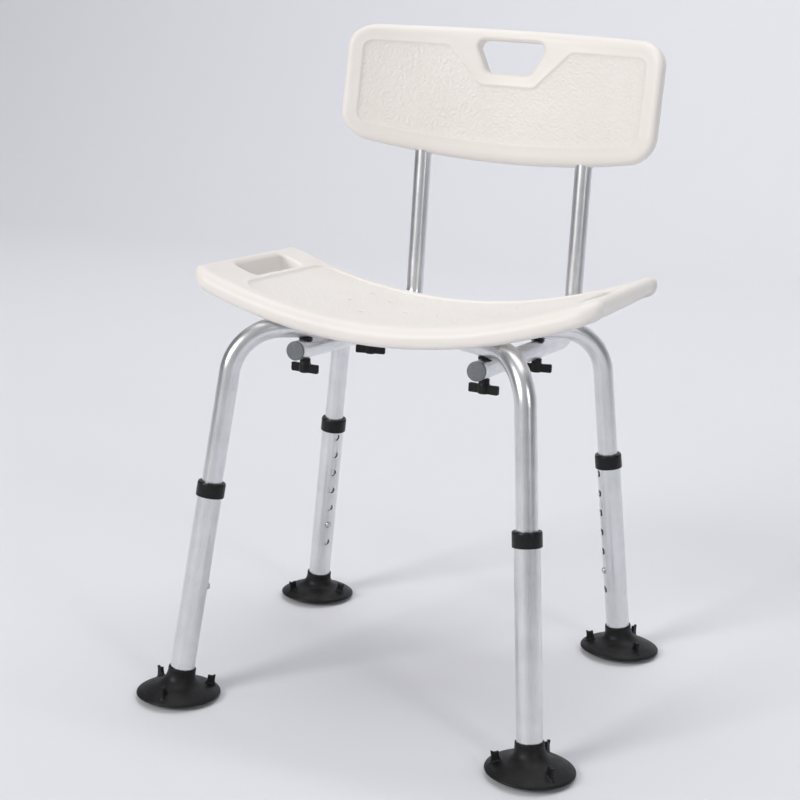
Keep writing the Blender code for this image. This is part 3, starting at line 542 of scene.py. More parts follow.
def plate_domain(outline, openings, guides, spacing):
    """Flat triangulation of an outline with openings, whose guide loops carry points."""
    loops = [outline, *openings, *guides]
    grid = clear_grid(outline, openings, guides, spacing)
    points = [Vector(point) for loop in loops for point in loop]
    edges = []
    base = 0
    for loop in loops:
        count = len(loop)
        edges += [(base + i, base + (i + 1) % count) for i in range(count)]
        base += count
    points += [Vector(point) for point in grid]
    made = delaunay_2d_cdt(points, edges, [], 0, 1e-7)
    flat = np.array([tuple(point) for point in made[0]])
    triangles = np.array(made[2])
    middles = flat[triangles].mean(axis=1)
    keep = signed_distance(middles, outline) < 0
    for opening in openings:
        keep &= signed_distance(middles, opening) > 0
    triangles = triangles[keep]
    used = np.unique(triangles)
    renumber = np.full(len(flat), -1)
    renumber[used] = np.arange(len(used))
    return flat[used], renumber[triangles]


def boundary_edges(triangles):
    """Directed edges that only one triangle uses."""
    edges = np.concatenate([triangles[:, [0, 1]], triangles[:, [1, 2]], triangles[:, [2, 0]]])
    seen = {tuple(edge) for edge in edges.tolist()}
    return [edge for edge in seen if (edge[1], edge[0]) not in seen]


def anticlockwise(flat, triangles):
    a, b, c = (flat[triangles[:, i]] for i in range(3))
    area = (b[:, 0] - a[:, 0]) * (c[:, 1] - a[:, 1]) - (b[:, 1] - a[:, 1]) * (c[:, 0] - a[:, 0])
    turned = triangles.copy()
    turned[area < 0] = turned[area < 0][:, ::-1]
    return turned


def plate(flat, triangles, top, bottom, place, wall_rows=3):
    """Closed solid between two height fields over one flat triangulation."""
    triangles = anticlockwise(flat, triangles)
    count = len(flat)
    upper = place(flat[:, 0], flat[:, 1], top)
    lower = place(flat[:, 0], flat[:, 1], bottom)
    points = [upper, lower]
    faces = triangles.tolist() + (triangles[:, ::-1] + count).tolist()
    rim = boundary_edges(triangles)
    rim_points = sorted({i for edge in rim for i in edge})
    order = {point: k for k, point in enumerate(rim_points)}
    rim_index = np.array(rim_points)
    rows = [rim_index]
    base = 2 * count
    for row in range(1, wall_rows):
        t = row / wall_rows
        height = top[rim_index] * (1 - t) + bottom[rim_index] * t
        points.append(place(flat[rim_index, 0], flat[rim_index, 1], height))
        rows.append(np.arange(base, base + len(rim_points)))
        base += len(rim_points)
    rows.append(rim_index + count)
    for a, b in rim:
        i, j = order[a], order[b]
        for above, below in zip(rows, rows[1:]):
            faces.append((int(above[i]), int(below[i]), int(below[j]), int(above[j])))
    return np.concatenate(points), faces


def set_attribute(piece, name, values):
    attribute = piece.data.attributes.new(name, "FLOAT", "POINT")
    attribute.data.foreach_set("value", np.asarray(values, np.float32))


# Seat board

SEAT_CORNER = 30 * MM
SEAT_TOP_EDGE, SEAT_BOTTOM_EDGE = 13 * MM, 8 * MM
SLOT_X, SLOT_Y = (198 * MM, 230 * MM), (-57 * MM, 64 * MM)
SLOT_CORNER, SLOT_EDGE = 9 * MM, 4.5 * MM
SEAT_RIM = 8 * MM
# In mm, for the right half
DRAIN_HOLES = ((20, -15), (60, 33), (59, -53), (94, 54), (95, -7))
DRAIN_RADIUS, DRAIN_EDGE = 3 * MM, 1.2 * MM
PANEL_DEPTH, PANEL_SOFT = 1.5 * MM, 1.0 * MM
BEAD_HEIGHT, BEAD_WIDTH = 0.7 * MM, 2.2 * MM
GRIP_STEP, GRIP_Y, GRIP_SLIM = 5 * MM, (-112 * MM, 104 * MM), 1.6 * MM
BOSS_RADIUS, BOSS_SOFT = 13 * MM, 1.5 * MM
SEAT_GRAIN = 0.5
SEAT_PANEL, SEAT_PANEL_MARGIN, SEAT_PANEL_CORNER = 188 * MM, 24 * MM, 22 * MM
SEAT_RECESS, SEAT_RECESS_CORNER = 182 * MM, 18 * MM
SEAT_SPACING, LOOP_SPACING = 3.2 * MM, 6 * MM


def rectangle(x0, x1, y0, y1):
    return [(x0, y0), (x1, y0), (x1, y1), (x0, y1)]


def edge_guides(loop, radius, sign):
    """Loops that follow a rounded edge, inside an outline (-1) or outside an opening (1)."""
    return [grown(loop, sign * radius * step) for step in ROUND_STEPS]


def soft_guides(loop, width):
    return [grown(loop, width * step) for step in (-1.0, -0.5, 0.0, 0.5, 1.0, 2.2, 3.6)]


def panel_relief(distance):
    """Sunk panel with a low bead along its border, from the distance to that border."""
    sunk = 1 - smoothstep(distance, -PANEL_SOFT, PANEL_SOFT)
    bead = np.exp(-((distance - BEAD_WIDTH) / BEAD_WIDTH) ** 2)
    return sunk, BEAD_HEIGHT * bead - PANEL_DEPTH * sunk


def seat_middle(x, y):
    """Height of the middle of the seat board above the snap buttons."""
    return SEAT_TOP - SEAT_THICKNESS / 2 + SEAT_BEND * x * x + SEAT_PITCH * y


def grip_share(x, y):
    """1 on the two bars at the seat's ends, and 0 on the rest of the board."""
    along = smoothstep(y, GRIP_Y[0] - 0.5 * MM, GRIP_Y[0] + 2 * MM)
    along = along * (1 - smoothstep(y, GRIP_Y[1] - 2 * MM, GRIP_Y[1] + 0.5 * MM))
    return along * smoothstep(np.abs(x), SLOT_X[1] + 4 * MM, SEAT_HALF_LENGTH - 8 * MM)


def seat_place(x, y, through):
    """Seat coordinates to chair coordinates, with the ends drawn in along the grips."""
    grip = grip_share(x, y)
    drawn = x - np.sign(x) * GRIP_STEP * grip
    slim = 1 - GRIP_SLIM / (SEAT_THICKNESS / 2) * grip
    return np.stack([drawn, y, seat_middle(x, y) + through * slim], axis=1)


def set_grain(piece, in_panel, count):
    """Mark where the leather grain lies: on the front of the plate, inside the panel."""
    grain = np.zeros(count)
    grain[:len(in_panel)] = in_panel
    set_attribute(piece, "grain", grain)


def seat_circles():
    """The drain holes and the bosses as flat loops."""
    angles = np.linspace(0, 2 * math.pi, 20, endpoint=False)
    ring = np.stack([np.cos(angles), np.sin(angles)], axis=1)
    drains = [ring * DRAIN_RADIUS + (side * x * MM, y * MM)
              for x, y in DRAIN_HOLES for side in (-1, 1)]
    bosses = [ring * BOSS_RADIUS + (side_x * BACK_TUBE_X, side_y * BOLT_Y)
              for side_x, side_y, *_ in LEGS.values()]
    return drains, bosses


def seat_guides(outline, slots, drains, panel):
    guides = edge_guides(outline, SEAT_TOP_EDGE, -1)
    for slot in slots:
        guides += edge_guides(slot, SLOT_EDGE, 1)
    for drain in drains:
        guides += [grown(drain, DRAIN_EDGE * step) for step in (0.15, 0.5, 1.0)]
    return guides + soft_guides(panel, PANEL_SOFT)


def rounded_box(x0, x1, y0, y1, corner, steps=8):
    return subdivided(rounded_loop(rectangle(x0, x1, y0, y1), corner, steps), LOOP_SPACING)


def build_seat():
    outline = rounded_box(-SEAT_HALF_LENGTH, SEAT_HALF_LENGTH, SEAT_FRONT, SEAT_REAR,
                          SEAT_CORNER, 12)
    slots = [rounded_box(*xs, *SLOT_Y, SLOT_CORNER)
             for xs in (SLOT_X, (-SLOT_X[1], -SLOT_X[0]))]
    drains, bosses = seat_circles()
    panel = rounded_box(-SEAT_PANEL, SEAT_PANEL, SEAT_FRONT + SEAT_PANEL_MARGIN,
                        SEAT_REAR - SEAT_PANEL_MARGIN, SEAT_PANEL_CORNER, 10)
    recess = rounded_box(-SEAT_RECESS, SEAT_RECESS, SEAT_FRONT + SEAT_RIM,
                         SEAT_REAR - SEAT_RIM, SEAT_RECESS_CORNER)
    # The recess edge and the bosses cross the panel's guides, so they stay free points
    guides = seat_guides(outline, slots, drains, panel)
    flat, triangles = plate_domain(outline, slots + drains, guides, SEAT_SPACING)

    outer = signed_distance(flat, outline)
    top = np.full(len(flat), SEAT_THICKNESS / 2) - edge_drop(outer, SEAT_TOP_EDGE)
    bottom = np.full(len(flat), -SEAT_THICKNESS / 2) + edge_drop(outer, SEAT_BOTTOM_EDGE)
    for slot in slots:
        distance = signed_distance(flat, slot)
        top -= edge_drop(distance, SLOT_EDGE)
        bottom += edge_drop(distance, SLOT_EDGE)
    for drain in drains:
        top -= edge_drop(signed_distance(flat, drain), DRAIN_EDGE)
    in_panel, relief = panel_relief(signed_distance(flat, panel))
    top += relief
    in_recess = 1 - smoothstep(signed_distance(flat, recess), -5 * MM, 1 * MM)
    bottom += (SEAT_THICKNESS - SEAT_DECK) * in_recess
    boss_height = ARCH_Z + ARCH_OUTER + GAP - seat_middle(flat[:, 0], flat[:, 1])
    for boss in bosses:
        share = 1 - smoothstep(signed_distance(flat, boss), -BOSS_SOFT, BOSS_SOFT)
        bottom = bottom * (1 - share) + boss_height * share
    points, faces = plate(flat, triangles, top, bottom, seat_place)
    seat = add_piece("seat", points, faces, "ivory_plastic", "chair_frame", ["seat_board"],
                     sharp=60)
    set_grain(seat, in_panel * SEAT_GRAIN, len(points))


# Back board

BOARD_CENTER = (BOARD_TOP + BOARD_BOTTOM) / 2
BOARD_HALF_HEIGHT = (BOARD_TOP - BOARD_BOTTOM) / 2
BOARD_CORNER, BOARD_EDGE = 34 * MM, 12 * MM
BOARD_SLOT_EDGE, BOARD_REAR_FLARE = 5 * MM, 14 * MM
GRIP_TOP, GRIP_BOTTOM = (50 * MM, 652 * MM), (30 * MM, 611 * MM)
BOARD_PANEL, BOARD_PANEL_BOTTOM = 190 * MM, 523 * MM
NOTCH = ((84 * MM, 642 * MM), (37 * MM, 594 * MM))
BOARD_PANEL_CORNER, GRIP_CORNER = 12 * MM, 9 * MM
BOARD_SPACING, GRIP_SPACING = 3.6 * MM, 4 * MM


def board_place(x, v, through):
    """Board coordinates to chair coordinates. The outline's height narrows to the ends."""
    low = BOARD_BOTTOM + BOARD_BOTTOM_RISE * x * x
    high = BOARD_TOP - BOARD_TOP_DROP * x * x
    rise = low + (v / BOARD_HALF_HEIGHT + 1) / 2 * (high - low) - BOARD_MIDDLE
    along = x * math.cos(BOARD_ASKEW) + rise * math.sin(BOARD_ASKEW)
    height = BOARD_MIDDLE + rise * math.cos(BOARD_ASKEW) - x * math.sin(BOARD_ASKEW)
    back = BOARD_BEND * (along ** 2 - BACK_TUBE_X ** 2) - through
    base = np.stack([along, POST_Y + RECLINE * (height - POST_Z), height], axis=1)
    return base + np.outer(back, np.asarray(BOARD_NORMAL))


def board_height(height):
    """Chair height to the board outline's own height."""
    return height - BOARD_CENTER


def board_slot():
    high, low = board_height(GRIP_TOP[1]), board_height(GRIP_BOTTOM[1])
    corners = [(-GRIP_BOTTOM[0], low), (GRIP_BOTTOM[0], low),
               (GRIP_TOP[0], high), (-GRIP_TOP[0], high)]
    return subdivided(rounded_loop(corners, GRIP_CORNER), GRIP_SPACING)


def board_panel():
    """Border of the leather panel, with its notch under the hand slot."""
    (top_x, top_height), (low_x, low_height) = NOTCH
    high, notch = board_height(top_height), board_height(low_height)
    low = board_height(BOARD_PANEL_BOTTOM)
    corners = [(-BOARD_PANEL, low), (BOARD_PANEL, low), (BOARD_PANEL, high), (top_x, high),
               (low_x, notch), (-low_x, notch), (-top_x, high), (-BOARD_PANEL, high)]
    return subdivided(rounded_loop(corners, BOARD_PANEL_CORNER), LOOP_SPACING)


def build_back_board():
    outline = rounded_box(-BOARD_HALF_LENGTH, BOARD_HALF_LENGTH, -BOARD_HALF_HEIGHT,
                          BOARD_HALF_HEIGHT, BOARD_CORNER, 14)
    slot = board_slot()
    panel = board_panel()
    guides = edge_guides(outline, BOARD_EDGE, -1) + edge_guides(slot, BOARD_SLOT_EDGE, 1)
    guides += soft_guides(panel, PANEL_SOFT)
    flat, triangles = plate_domain(outline, [slot], guides, BOARD_SPACING)
    outer = signed_distance(flat, outline)
    inner = signed_distance(flat, slot)
    half = np.full(len(flat), BOARD_THICKNESS / 2)
    drop = edge_drop(outer, BOARD_EDGE) + edge_drop(inner, BOARD_SLOT_EDGE)
    in_panel, relief = panel_relief(signed_distance(flat, panel))
    flare = edge_drop(outer, BOARD_EDGE) + edge_drop(inner, BOARD_REAR_FLARE)
    points, faces = plate(flat, triangles, half - drop + relief, flare - half, board_place)
    board = add_piece("back_rest", points, faces, "ivory_plastic", "chair_frame",
                      ["back_board"], sharp=60)
    set_grain(board, in_panel, len(points))
    cut_screw_pockets(board)


def cut_screw_pockets(board):
    for side in SIDES.values():
        for height in SCREW_HEIGHTS:
            place = post_point(side * BACK_TUBE_X, height)
            points, faces, _ = cylinder(place + BOARD_NORMAL * SCREW_POCKET,
                                        place + BOARD_NORMAL * 2 * BOARD_THICKNESS,
                                        SCREW_POCKET_RADIUS)
            cut(board, tool_object(points, faces))


# Tubes


def tangents(points):
    ahead = np.roll(points, -1, axis=0)
    before = np.roll(points, 1, axis=0)
    ahead[-1] = points[-1]
    before[0] = points[0]
    result = ahead - before
    return result / np.linalg.norm(result, axis=1)[:, None]


def sweep_tube(path, side, sections, sides=48):
    """Hollow tube on a flat path. Sections are (half width, half height, lift, wall)."""
    path = np.array([tuple(point) for point in path])
    outer, inner = [], []
    side = np.asarray(side)
    for point, tangent, (width, height, lift, wall) in zip(path, tangents(path), sections):
        normal = np.cross(tangent, side)
        normal /= np.linalg.norm(normal)
        center = point + np.array([0, 0, lift])
        outer.append(circle(center, side, normal, width, height, sides))
        inner.append(circle(center, side, normal, width - wall, height - wall, sides))
    return ring_mesh(outer + inner[::-1], loop=True)


def crimp_section(point, lift):
    """Section of an arch tube, flattened and stepped aside near the crossing."""
    distance = point.xy.length if point.z > ARCH_Z - MM else 1.0
    t = float(smoothstep(distance, CRIMP_FLAT, CRIMP_END))
    height = CRIMP_HALF_HEIGHT + (ARCH_OUTER - CRIMP_HALF_HEIGHT) * t
    width = CRIMP_HALF_WIDTH + (ARCH_OUTER - CRIMP_HALF_WIDTH) * t
    return width, height, lift * (1 - t), ARCH_WALL


def build_arch(name, side_x, lift):
    """Arch tube with smooth bends and its crimped crossing."""
    front, rear = (side_x, -1), (-side_x, 1)
    halves = []
    for leg in (front, rear):
        start = leg_point(*leg, -ARCH_END_DROP)
        corner = leg_point(*leg, ARCH_Z / leg_axis(*leg).z)
        inner = outward(*leg) * (CRIMP_END + 2 * MM) + UP * ARCH_Z
        halves.append([start] + arc_at(start, corner, inner, ARCH_BEND, 28) + [inner])
    steps = np.linspace(CRIMP_END, -CRIMP_END, 47)
    crimp = [outward(*front) * float(step) + UP * ARCH_Z for step in steps]
    path = halves[0] + crimp + halves[1][::-1]
    sections = [crimp_section(point, lift) for point in path]
    points, faces, uvs = sweep_tube(path, outward(*front).cross(UP), sections)
    add_piece(name, points, faces, "anodised_aluminium", "chair_frame",
              [f"leg_{name}"], uvs)


def build_back_tube(name, side_x):
    start = Vector((side_x * BACK_TUBE_X, BACK_TUBE_FRONT, BACK_TUBE_Z))
    corner = post_point(side_x * BACK_TUBE_X, BACK_TUBE_Z)
    end = post_point(side_x * BACK_TUBE_X, BACK_TUBE_TOP)
    path = [start] + arc_at(start, corner, end, BACK_TUBE_BEND, 28) + [end]
    section = (BACK_TUBE_OUTER, BACK_TUBE_OUTER, 0.0, BACK_TUBE_WALL)
    points, faces, uvs = sweep_tube(path, ACROSS, [section] * len(path), 44)
    add_piece(f"back_tube_{name}", points, faces, "anodised_aluminium", "chair_frame",
              [f"backrest_tube_{name}"], uvs)


CAP_FACE, CAP_ROUND, CAP_PLUG_LENGTH = 3.2 * MM, 1.1 * MM, 12 * MM


def build_end_cap(name, side_x):
    """Grey plug with a softly rounded face."""
    start = Vector((side_x * BACK_TUBE_X, BACK_TUBE_FRONT, BACK_TUBE_Z))
    plug = BACK_TUBE_OUTER - BACK_TUBE_WALL - GAP
    profile = fillet_profile([
        (plug - 0.8 * MM, -CAP_PLUG_LENGTH, 0), (plug, 2 * MM - CAP_PLUG_LENGTH, 0),
        (plug, GAP, 0), (BACK_TUBE_OUTER, GAP, 0), (BACK_TUBE_OUTER, CAP_FACE, CAP_ROUND),
        (1.5 * MM, CAP_FACE, 0)])
    points, faces, uvs = lathe(start, Vector((0, -1, 0)), profile)
    add_piece(f"end_cap_{name}", points, faces, "grey_plastic", "chair_frame",
              [f"tube_cap_{name}"], uvs)


DRILL_REACH = (6 * MM, 20 * MM)


def build_lower_leg(name, side_x, side_y, hole, body):
    """Lower tube with its seven holes cut through the inward wall."""
    axis = leg_axis(side_x, side_y)
    shift = (REAR_HOLE - hole) * HOLE_PITCH
    collar_top = leg_point(side_x, side_y, COLLAR_TOP - shift)
    end = collar_top - axis * LOWER_LENGTH
    length = LOWER_LENGTH - COLLAR_LIP
    profile = [(LOWER_INNER, -FOOT_SOCKET), (LOWER_OUTER, -FOOT_SOCKET), (LOWER_OUTER, length),
               (LOWER_INNER, length)]
    points, faces, uvs = lathe(end, axis, profile, 72, loop=True)
    tube = add_piece(f"outer_tube_{name}", points, faces, "anodised_aluminium", body,
                     [f"lower_leg_{name}"], uvs)
    inward = snap_direction(side_x, side_y)
    drills = []
    for i in range(HOLE_COUNT):
        place = collar_top - axis * (FIRST_HOLE_DROP + i * HOLE_PITCH)
        start, stop = (place + inward * reach for reach in DRILL_REACH)
        drills.append(cylinder(start, stop, HOLE_RADIUS, 32))
    cut(tube, tool_object(*merged(*drills)))
    straighten_normals(tube, STAND @ end, STAND_TURN @ axis)
    return collar_top, end, axis


def straighten_normals(piece, start, axis):
    """Give a drilled tube the normals of a true cylinder, so that its holes don't dent it."""
    mesh = piece.data
    start, axis = np.asarray(start), np.asarray(axis)
    corners = np.zeros(len(mesh.loops), int)
    mesh.loops.foreach_get("vertex_index", corners)
    places = np.zeros(len(mesh.vertices) * 3)
    mesh.vertices.foreach_get("co", places)
    places = places.reshape(-1, 3)[corners] - start
    radial = places - np.outer(places @ axis, axis)
    radial /= np.linalg.norm(radial, axis=1)[:, None]
    normals = np.zeros_like(radial)
    for polygon in mesh.polygons:
        loops = slice(polygon.loop_start, polygon.loop_start + polygon.loop_total)
        flat = np.asarray(polygon.normal)
        facing = radial[loops] @ flat
        if np.all(facing > 0.9):
            normals[loops] = radial[loops]
        elif np.all(facing < -0.9):
            normals[loops] = -radial[loops]
        else:
            normals[loops] = flat
    mesh.normals_split_custom_set([tuple(normal) for normal in normals])


def build_collar(name, collar_top, axis, body):
    """Black collar with a rolled lip, a shallow waist and a liner inside the tube."""
    profile = fillet_profile([
        (COLLAR_BORE, -LINER_LENGTH, 0), (COLLAR_BORE, 0.0, 0.5 * MM),
        (COLLAR_OUTER - 0.7 * MM, 0.0, 0.9 * MM), (COLLAR_OUTER, -2.2 * MM, 0.8 * MM),
        (COLLAR_OUTER, -COLLAR_LENGTH, 0.6 * MM), (LOWER_OUTER + GAP, -COLLAR_LENGTH, 0),
        (LOWER_OUTER + GAP, GAP - COLLAR_LIP, 0), (LOWER_INNER - GAP, GAP - COLLAR_LIP, 0),
        (LOWER_INNER - GAP, -LINER_LENGTH, 0)])
    points, faces, uvs = lathe(collar_top, axis, profile, 72, loop=True)
    add_piece(f"sleeve_{name}", points, faces, "black_plastic", body, [f"collar_{name}"], uvs)


# Points in mm: (height, radius, share of the leg's lean) on the foot, (radius, height) on a tab
FOOT_PROFILE = (
    (32.0, 14.6, 1.0), (32.0, 15.4, 1.0), (31.4, 16.2, 1.0), (29.0, 16.3, 1.0),
    (25.0, 16.4, 1.0), (21.0, 17.2, 0.9), (17.5, 19.0, 0.75), (14.6, 22.4, 0.5),
    (12.6, 26.5, 0.3), (10.8, 32.0, 0.15), (8.4, 38.5, 0.05), (5.6, 44.5, 0.0),
    (3.2, 48.4, 0.0), (1.8, 49.5, 0.0), (0.4, 49.5, 0.0), (0.0, 48.8, 0.0),
    (0.0, 44.5, 0.0), (1.2, 41.5, 0.0), (3.6, 36.0, 0.0), (6.4, 24.0, 0.0),
    (7.4, 12.0, 0.0), (7.6, 1.0, 0.0))
TAB_PROFILE = ((27, 6), (45.5, 3.2), (43.2, 8), (42.4, 13), (43.6, 20.6), (39.5, 18.9),
               (34.6, 20.8), (33.6, 14), (31.5, 11.2))
TAB_COUNT, TAB_HALF_WIDTH = 3, 2 * MM
FOOT_VOXEL, KNOB_VOXEL = 0.9 * MM, 0.45 * MM


def build_foot(name, end, axis, turn_degrees, body):
    """Moulded rubber foot whose neck leans with the leg while its disc stays level."""
    center = end - axis * (FOOT_HEIGHT / axis.z)

    def ring(height, radius, lean):
        normal = (UP * (1 - lean) + axis * lean).normalized()
        side, across = side_vectors(normal)
        return circle(center + axis * (height / axis.z), side, across, radius, sides=72)

    rings = [ring(height * MM, radius * MM, lean) for height, radius, lean in FOOT_PROFILE]
    bore_floor = FOOT_HEIGHT - FOOT_SOCKET - 2 * GAP
    rings += [ring(bore_floor, 1 * MM, 1.0), ring(bore_floor, LOWER_OUTER + GAP, 1.0)]
    solids = [ring_mesh(rings, loop=True)]
    for i in range(TAB_COUNT):
        angle = math.radians(turn_degrees + 360 / TAB_COUNT * i)
        away = Vector((math.cos(angle), math.sin(angle), 0))
        wide = Vector((-away.y, away.x, 0)) * TAB_HALF_WIDTH
        solids.append(prism([center + away * r * MM + UP * z * MM for r, z in TAB_PROFILE], wide))
    foot = add_piece(f"rubber_foot_{name}", *merged(*solids), "black_rubber", body,
                     [f"foot_{name}"])
    soften(foot, FOOT_VOXEL, 4)


def prism(outline, half):
    """Solid between two copies of an outline, one on each side of it."""
    sides = [np.array([tuple(point + shift) for point in outline]) for shift in (-half, half)]
    return ring_mesh(sides)


BUTTON_RADIUS, BUTTON_ROUND, BUTTON_TIP = 4 * MM, 2.4 * MM, 16.8 * MM
BUTTON_FLANGE, BUTTON_BASE, BUTTON_SHOULDER = 5.2 * MM, 7.2 * MM, 8.6 * MM


def build_snap_button(name, side_x, side_y):
    button = leg_point(side_x, side_y, 0.0)
    profile = fillet_profile([
        (BUTTON_FLANGE, BUTTON_BASE, 0), (BUTTON_FLANGE, BUTTON_SHOULDER, 0),
        (BUTTON_RADIUS, BUTTON_SHOULDER, 0), (BUTTON_RADIUS, BUTTON_TIP, BUTTON_ROUND),
        (0.2 * MM, BUTTON_TIP, 0)], 8)
    points, faces, uvs = lathe(button, snap_direction(side_x, side_y), profile, 40)
    add_piece(f"snap_pin_{name}", points, faces, "stainless_steel", f"button_{name}",
              [f"snap_button_{name}"], uvs)


KNOB_HEIGHT, KNOB_WING_HEIGHT = 17 * MM, 10.5 * MM
KNOB_TURN, WING_HALF_THICKNESS = math.radians(12), 2.4 * MM
HUB_RADIUS, SKIRT_RADIUS = 6.2 * MM, 7.0 * MM
# Points in mm: (reach, height)
WING_OUTLINE = ((0.0, 0.6), (17.8, 0.4), (19.0, 1.6), (19.0, 9.6), (18.0, 10.8), (10.0, 10.6),
                (0.0, 10.8))


def build_wing_knob(name, side_x, side_y):
    """Two-winged knob moulded in one piece with its hub."""
    place = Vector((side_x * BACK_TUBE_X, side_y * BOLT_Y, KNOB_TOP))
    base = place - UP * KNOB_HEIGHT
    hub = lathe(base, UP, [
        (5.4 * MM, 0.0), (6.6 * MM, 0.9 * MM), (SKIRT_RADIUS, 3 * MM),
        (6.9 * MM, KNOB_WING_HEIGHT), (HUB_RADIUS, KNOB_WING_HEIGHT + 1.2 * MM),
        (HUB_RADIUS, KNOB_HEIGHT)], 48)
    turn = Matrix.Rotation(KNOB_TURN * side_y, 4, "Z")
    solids = [hub]
    for side in (-1, 1):
        points = [turn @ Vector((side * x * MM, 0, z * MM)) + base for x, z in WING_OUTLINE]
        solids.append(prism(points if side > 0 else points[::-1],
                            turn @ Vector((0, WING_HALF_THICKNESS, 0))))
    points, faces = merged(*solids)
    knob = add_piece(f"knob_{name}", points, faces, "black_plastic", f"knob_{name}",
                     [f"wing_knob_{name}"])
    soften(knob, KNOB_VOXEL, 3)


STUD_RADIUS, STUD_IN_KNOB, STUD_BELOW_SEAT_TOP = 2.9 * MM, 10.7 * MM, 6.3 * MM


def build_stud(name, side_x, side_y):
    place = Vector((side_x * BACK_TUBE_X, side_y * BOLT_Y, 0))
    low = KNOB_TOP - STUD_IN_KNOB
    seat_top = SEAT_TOP + SEAT_BEND * BACK_TUBE_X ** 2 + SEAT_PITCH * place.y
    high = seat_top - STUD_BELOW_SEAT_TOP
    points, faces, uvs = cylinder(place + UP * low, place + UP * high, STUD_RADIUS, 32)
    add_piece(f"bolt_{name}", points, faces, "stainless_steel", "chair_frame",
              [f"stud_{name}"], uvs)


SADDLE_SOFT, SADDLE_BORE = 0.5 * MM, 3.3 * MM
CUT_REACH = 30 * MM


def build_saddle(name, side_x, side_y):
    """Spacer hollowed above for the arch tube and below for the backrest tube."""
    place = Vector((side_x * BACK_TUBE_X, side_y * BOLT_Y, 0))
    low = BACK_TUBE_Z + BACK_TUBE_OUTER - SADDLE_WRAP
    high = ARCH_Z - ARCH_OUTER + SADDLE_WRAP
    profile = [(SADDLE_RADIUS - SADDLE_SOFT, low), (SADDLE_RADIUS, low + SADDLE_SOFT),
               (SADDLE_RADIUS, high - SADDLE_SOFT), (SADDLE_RADIUS - SADDLE_SOFT, high)]
    points, faces, _ = lathe(place, UP, profile, 64)
    saddle = add_piece(f"spacer_{name}", points, faces, "black_plastic", "chair_frame",
                       [f"saddle_{name}"])
    runs = ((ARCH_Z, outward(side_x, side_y) * CUT_REACH, ARCH_OUTER + GAP),
            (BACK_TUBE_Z, Vector((0, CUT_REACH, 0)), BACK_TUBE_OUTER + GAP),
            ((low + high) / 2, UP * CUT_REACH, SADDLE_BORE))
    for height, along, radius in runs:
        middle = place + UP * height
        tube_points, tube_faces, _ = cylinder(middle - along, middle + along, radius, 64)
        cut(saddle, tool_object(tube_points, tube_faces))
    saddle.data.set_sharp_from_angle(angle=math.radians(30))


BOLT_RADIUS, BOLT_HEAD_RADIUS, BOLT_HEAD_HEIGHT, BOLT_HEAD_ROUND = 2.9 * MM, 6 * MM, 4 * MM, 3.4 * MM
NUT_HEIGHT, NUT_BORE, NUT_RADIUS, NUT_BEVEL = 5.6 * MM, 3.8 * MM, 6.4 * MM, 0.5 * MM


def build_centre_bolt():
    """Round-headed bolt with a nut under the crossing."""
    head = ARCH_Z + UPPER_CRIMP_LIFT + CRIMP_HALF_HEIGHT + GAP
    nut_high = ARCH_Z + LOWER_CRIMP_LIFT - CRIMP_HALF_HEIGHT - GAP
    nut_low = nut_high - NUT_HEIGHT
    head_top = head + BOLT_HEAD_HEIGHT
    profile = fillet_profile([
        (2.3 * MM, nut_low - 2 * MM, 0), (BOLT_RADIUS, nut_low - 1.4 * MM, 0),
        (BOLT_RADIUS, head, 0), (BOLT_HEAD_RADIUS, head, 0),
        (BOLT_HEAD_RADIUS, head_top, BOLT_HEAD_ROUND), (0.3 * MM, head_top, 0)])
    points, faces, uvs = lathe(Vector(), UP, profile, 40)
    add_piece("crossing_bolt", points, faces, "stainless_steel", "chair_frame",
              ["centre_bolt"], uvs)
    face = NUT_RADIUS - NUT_BEVEL
    points, faces, uvs = lathe(Vector(), UP, [
        (NUT_BORE, nut_low), (face, nut_low), (NUT_RADIUS, nut_low + NUT_BEVEL),
        (NUT_RADIUS, nut_high - NUT_BEVEL), (face, nut_high), (NUT_BORE, nut_high)],
        6, loop=True)
    add_piece("crossing_nut", points, faces, "stainless_steel", "chair_frame",
              ["centre_nut"], uvs, sharp=20)


SCREW_RADIUS, SCREW_TIP, SCREW_POINT = 2 * MM, 6 * MM, 1 * MM
SCREW_HEAD_RADIUS, SCREW_HEAD_HEIGHT, SCREW_HEAD_ROUND = 4.4 * MM, 2.4 * MM, 1.9 * MM
DRIVE_DEPTH, DRIVE_HALF_LENGTH, DRIVE_HALF_WIDTH = 1.3 * MM, 2.2 * MM, 0.45 * MM
DRIVE_REACH = 3 * MM


def build_board_screws():
    for name, side in SIDES.items():
        for level, height in zip(("lower", "upper"), SCREW_HEIGHTS):
            build_board_screw(f"{name}_{level}", post_point(side * BACK_TUBE_X, height))


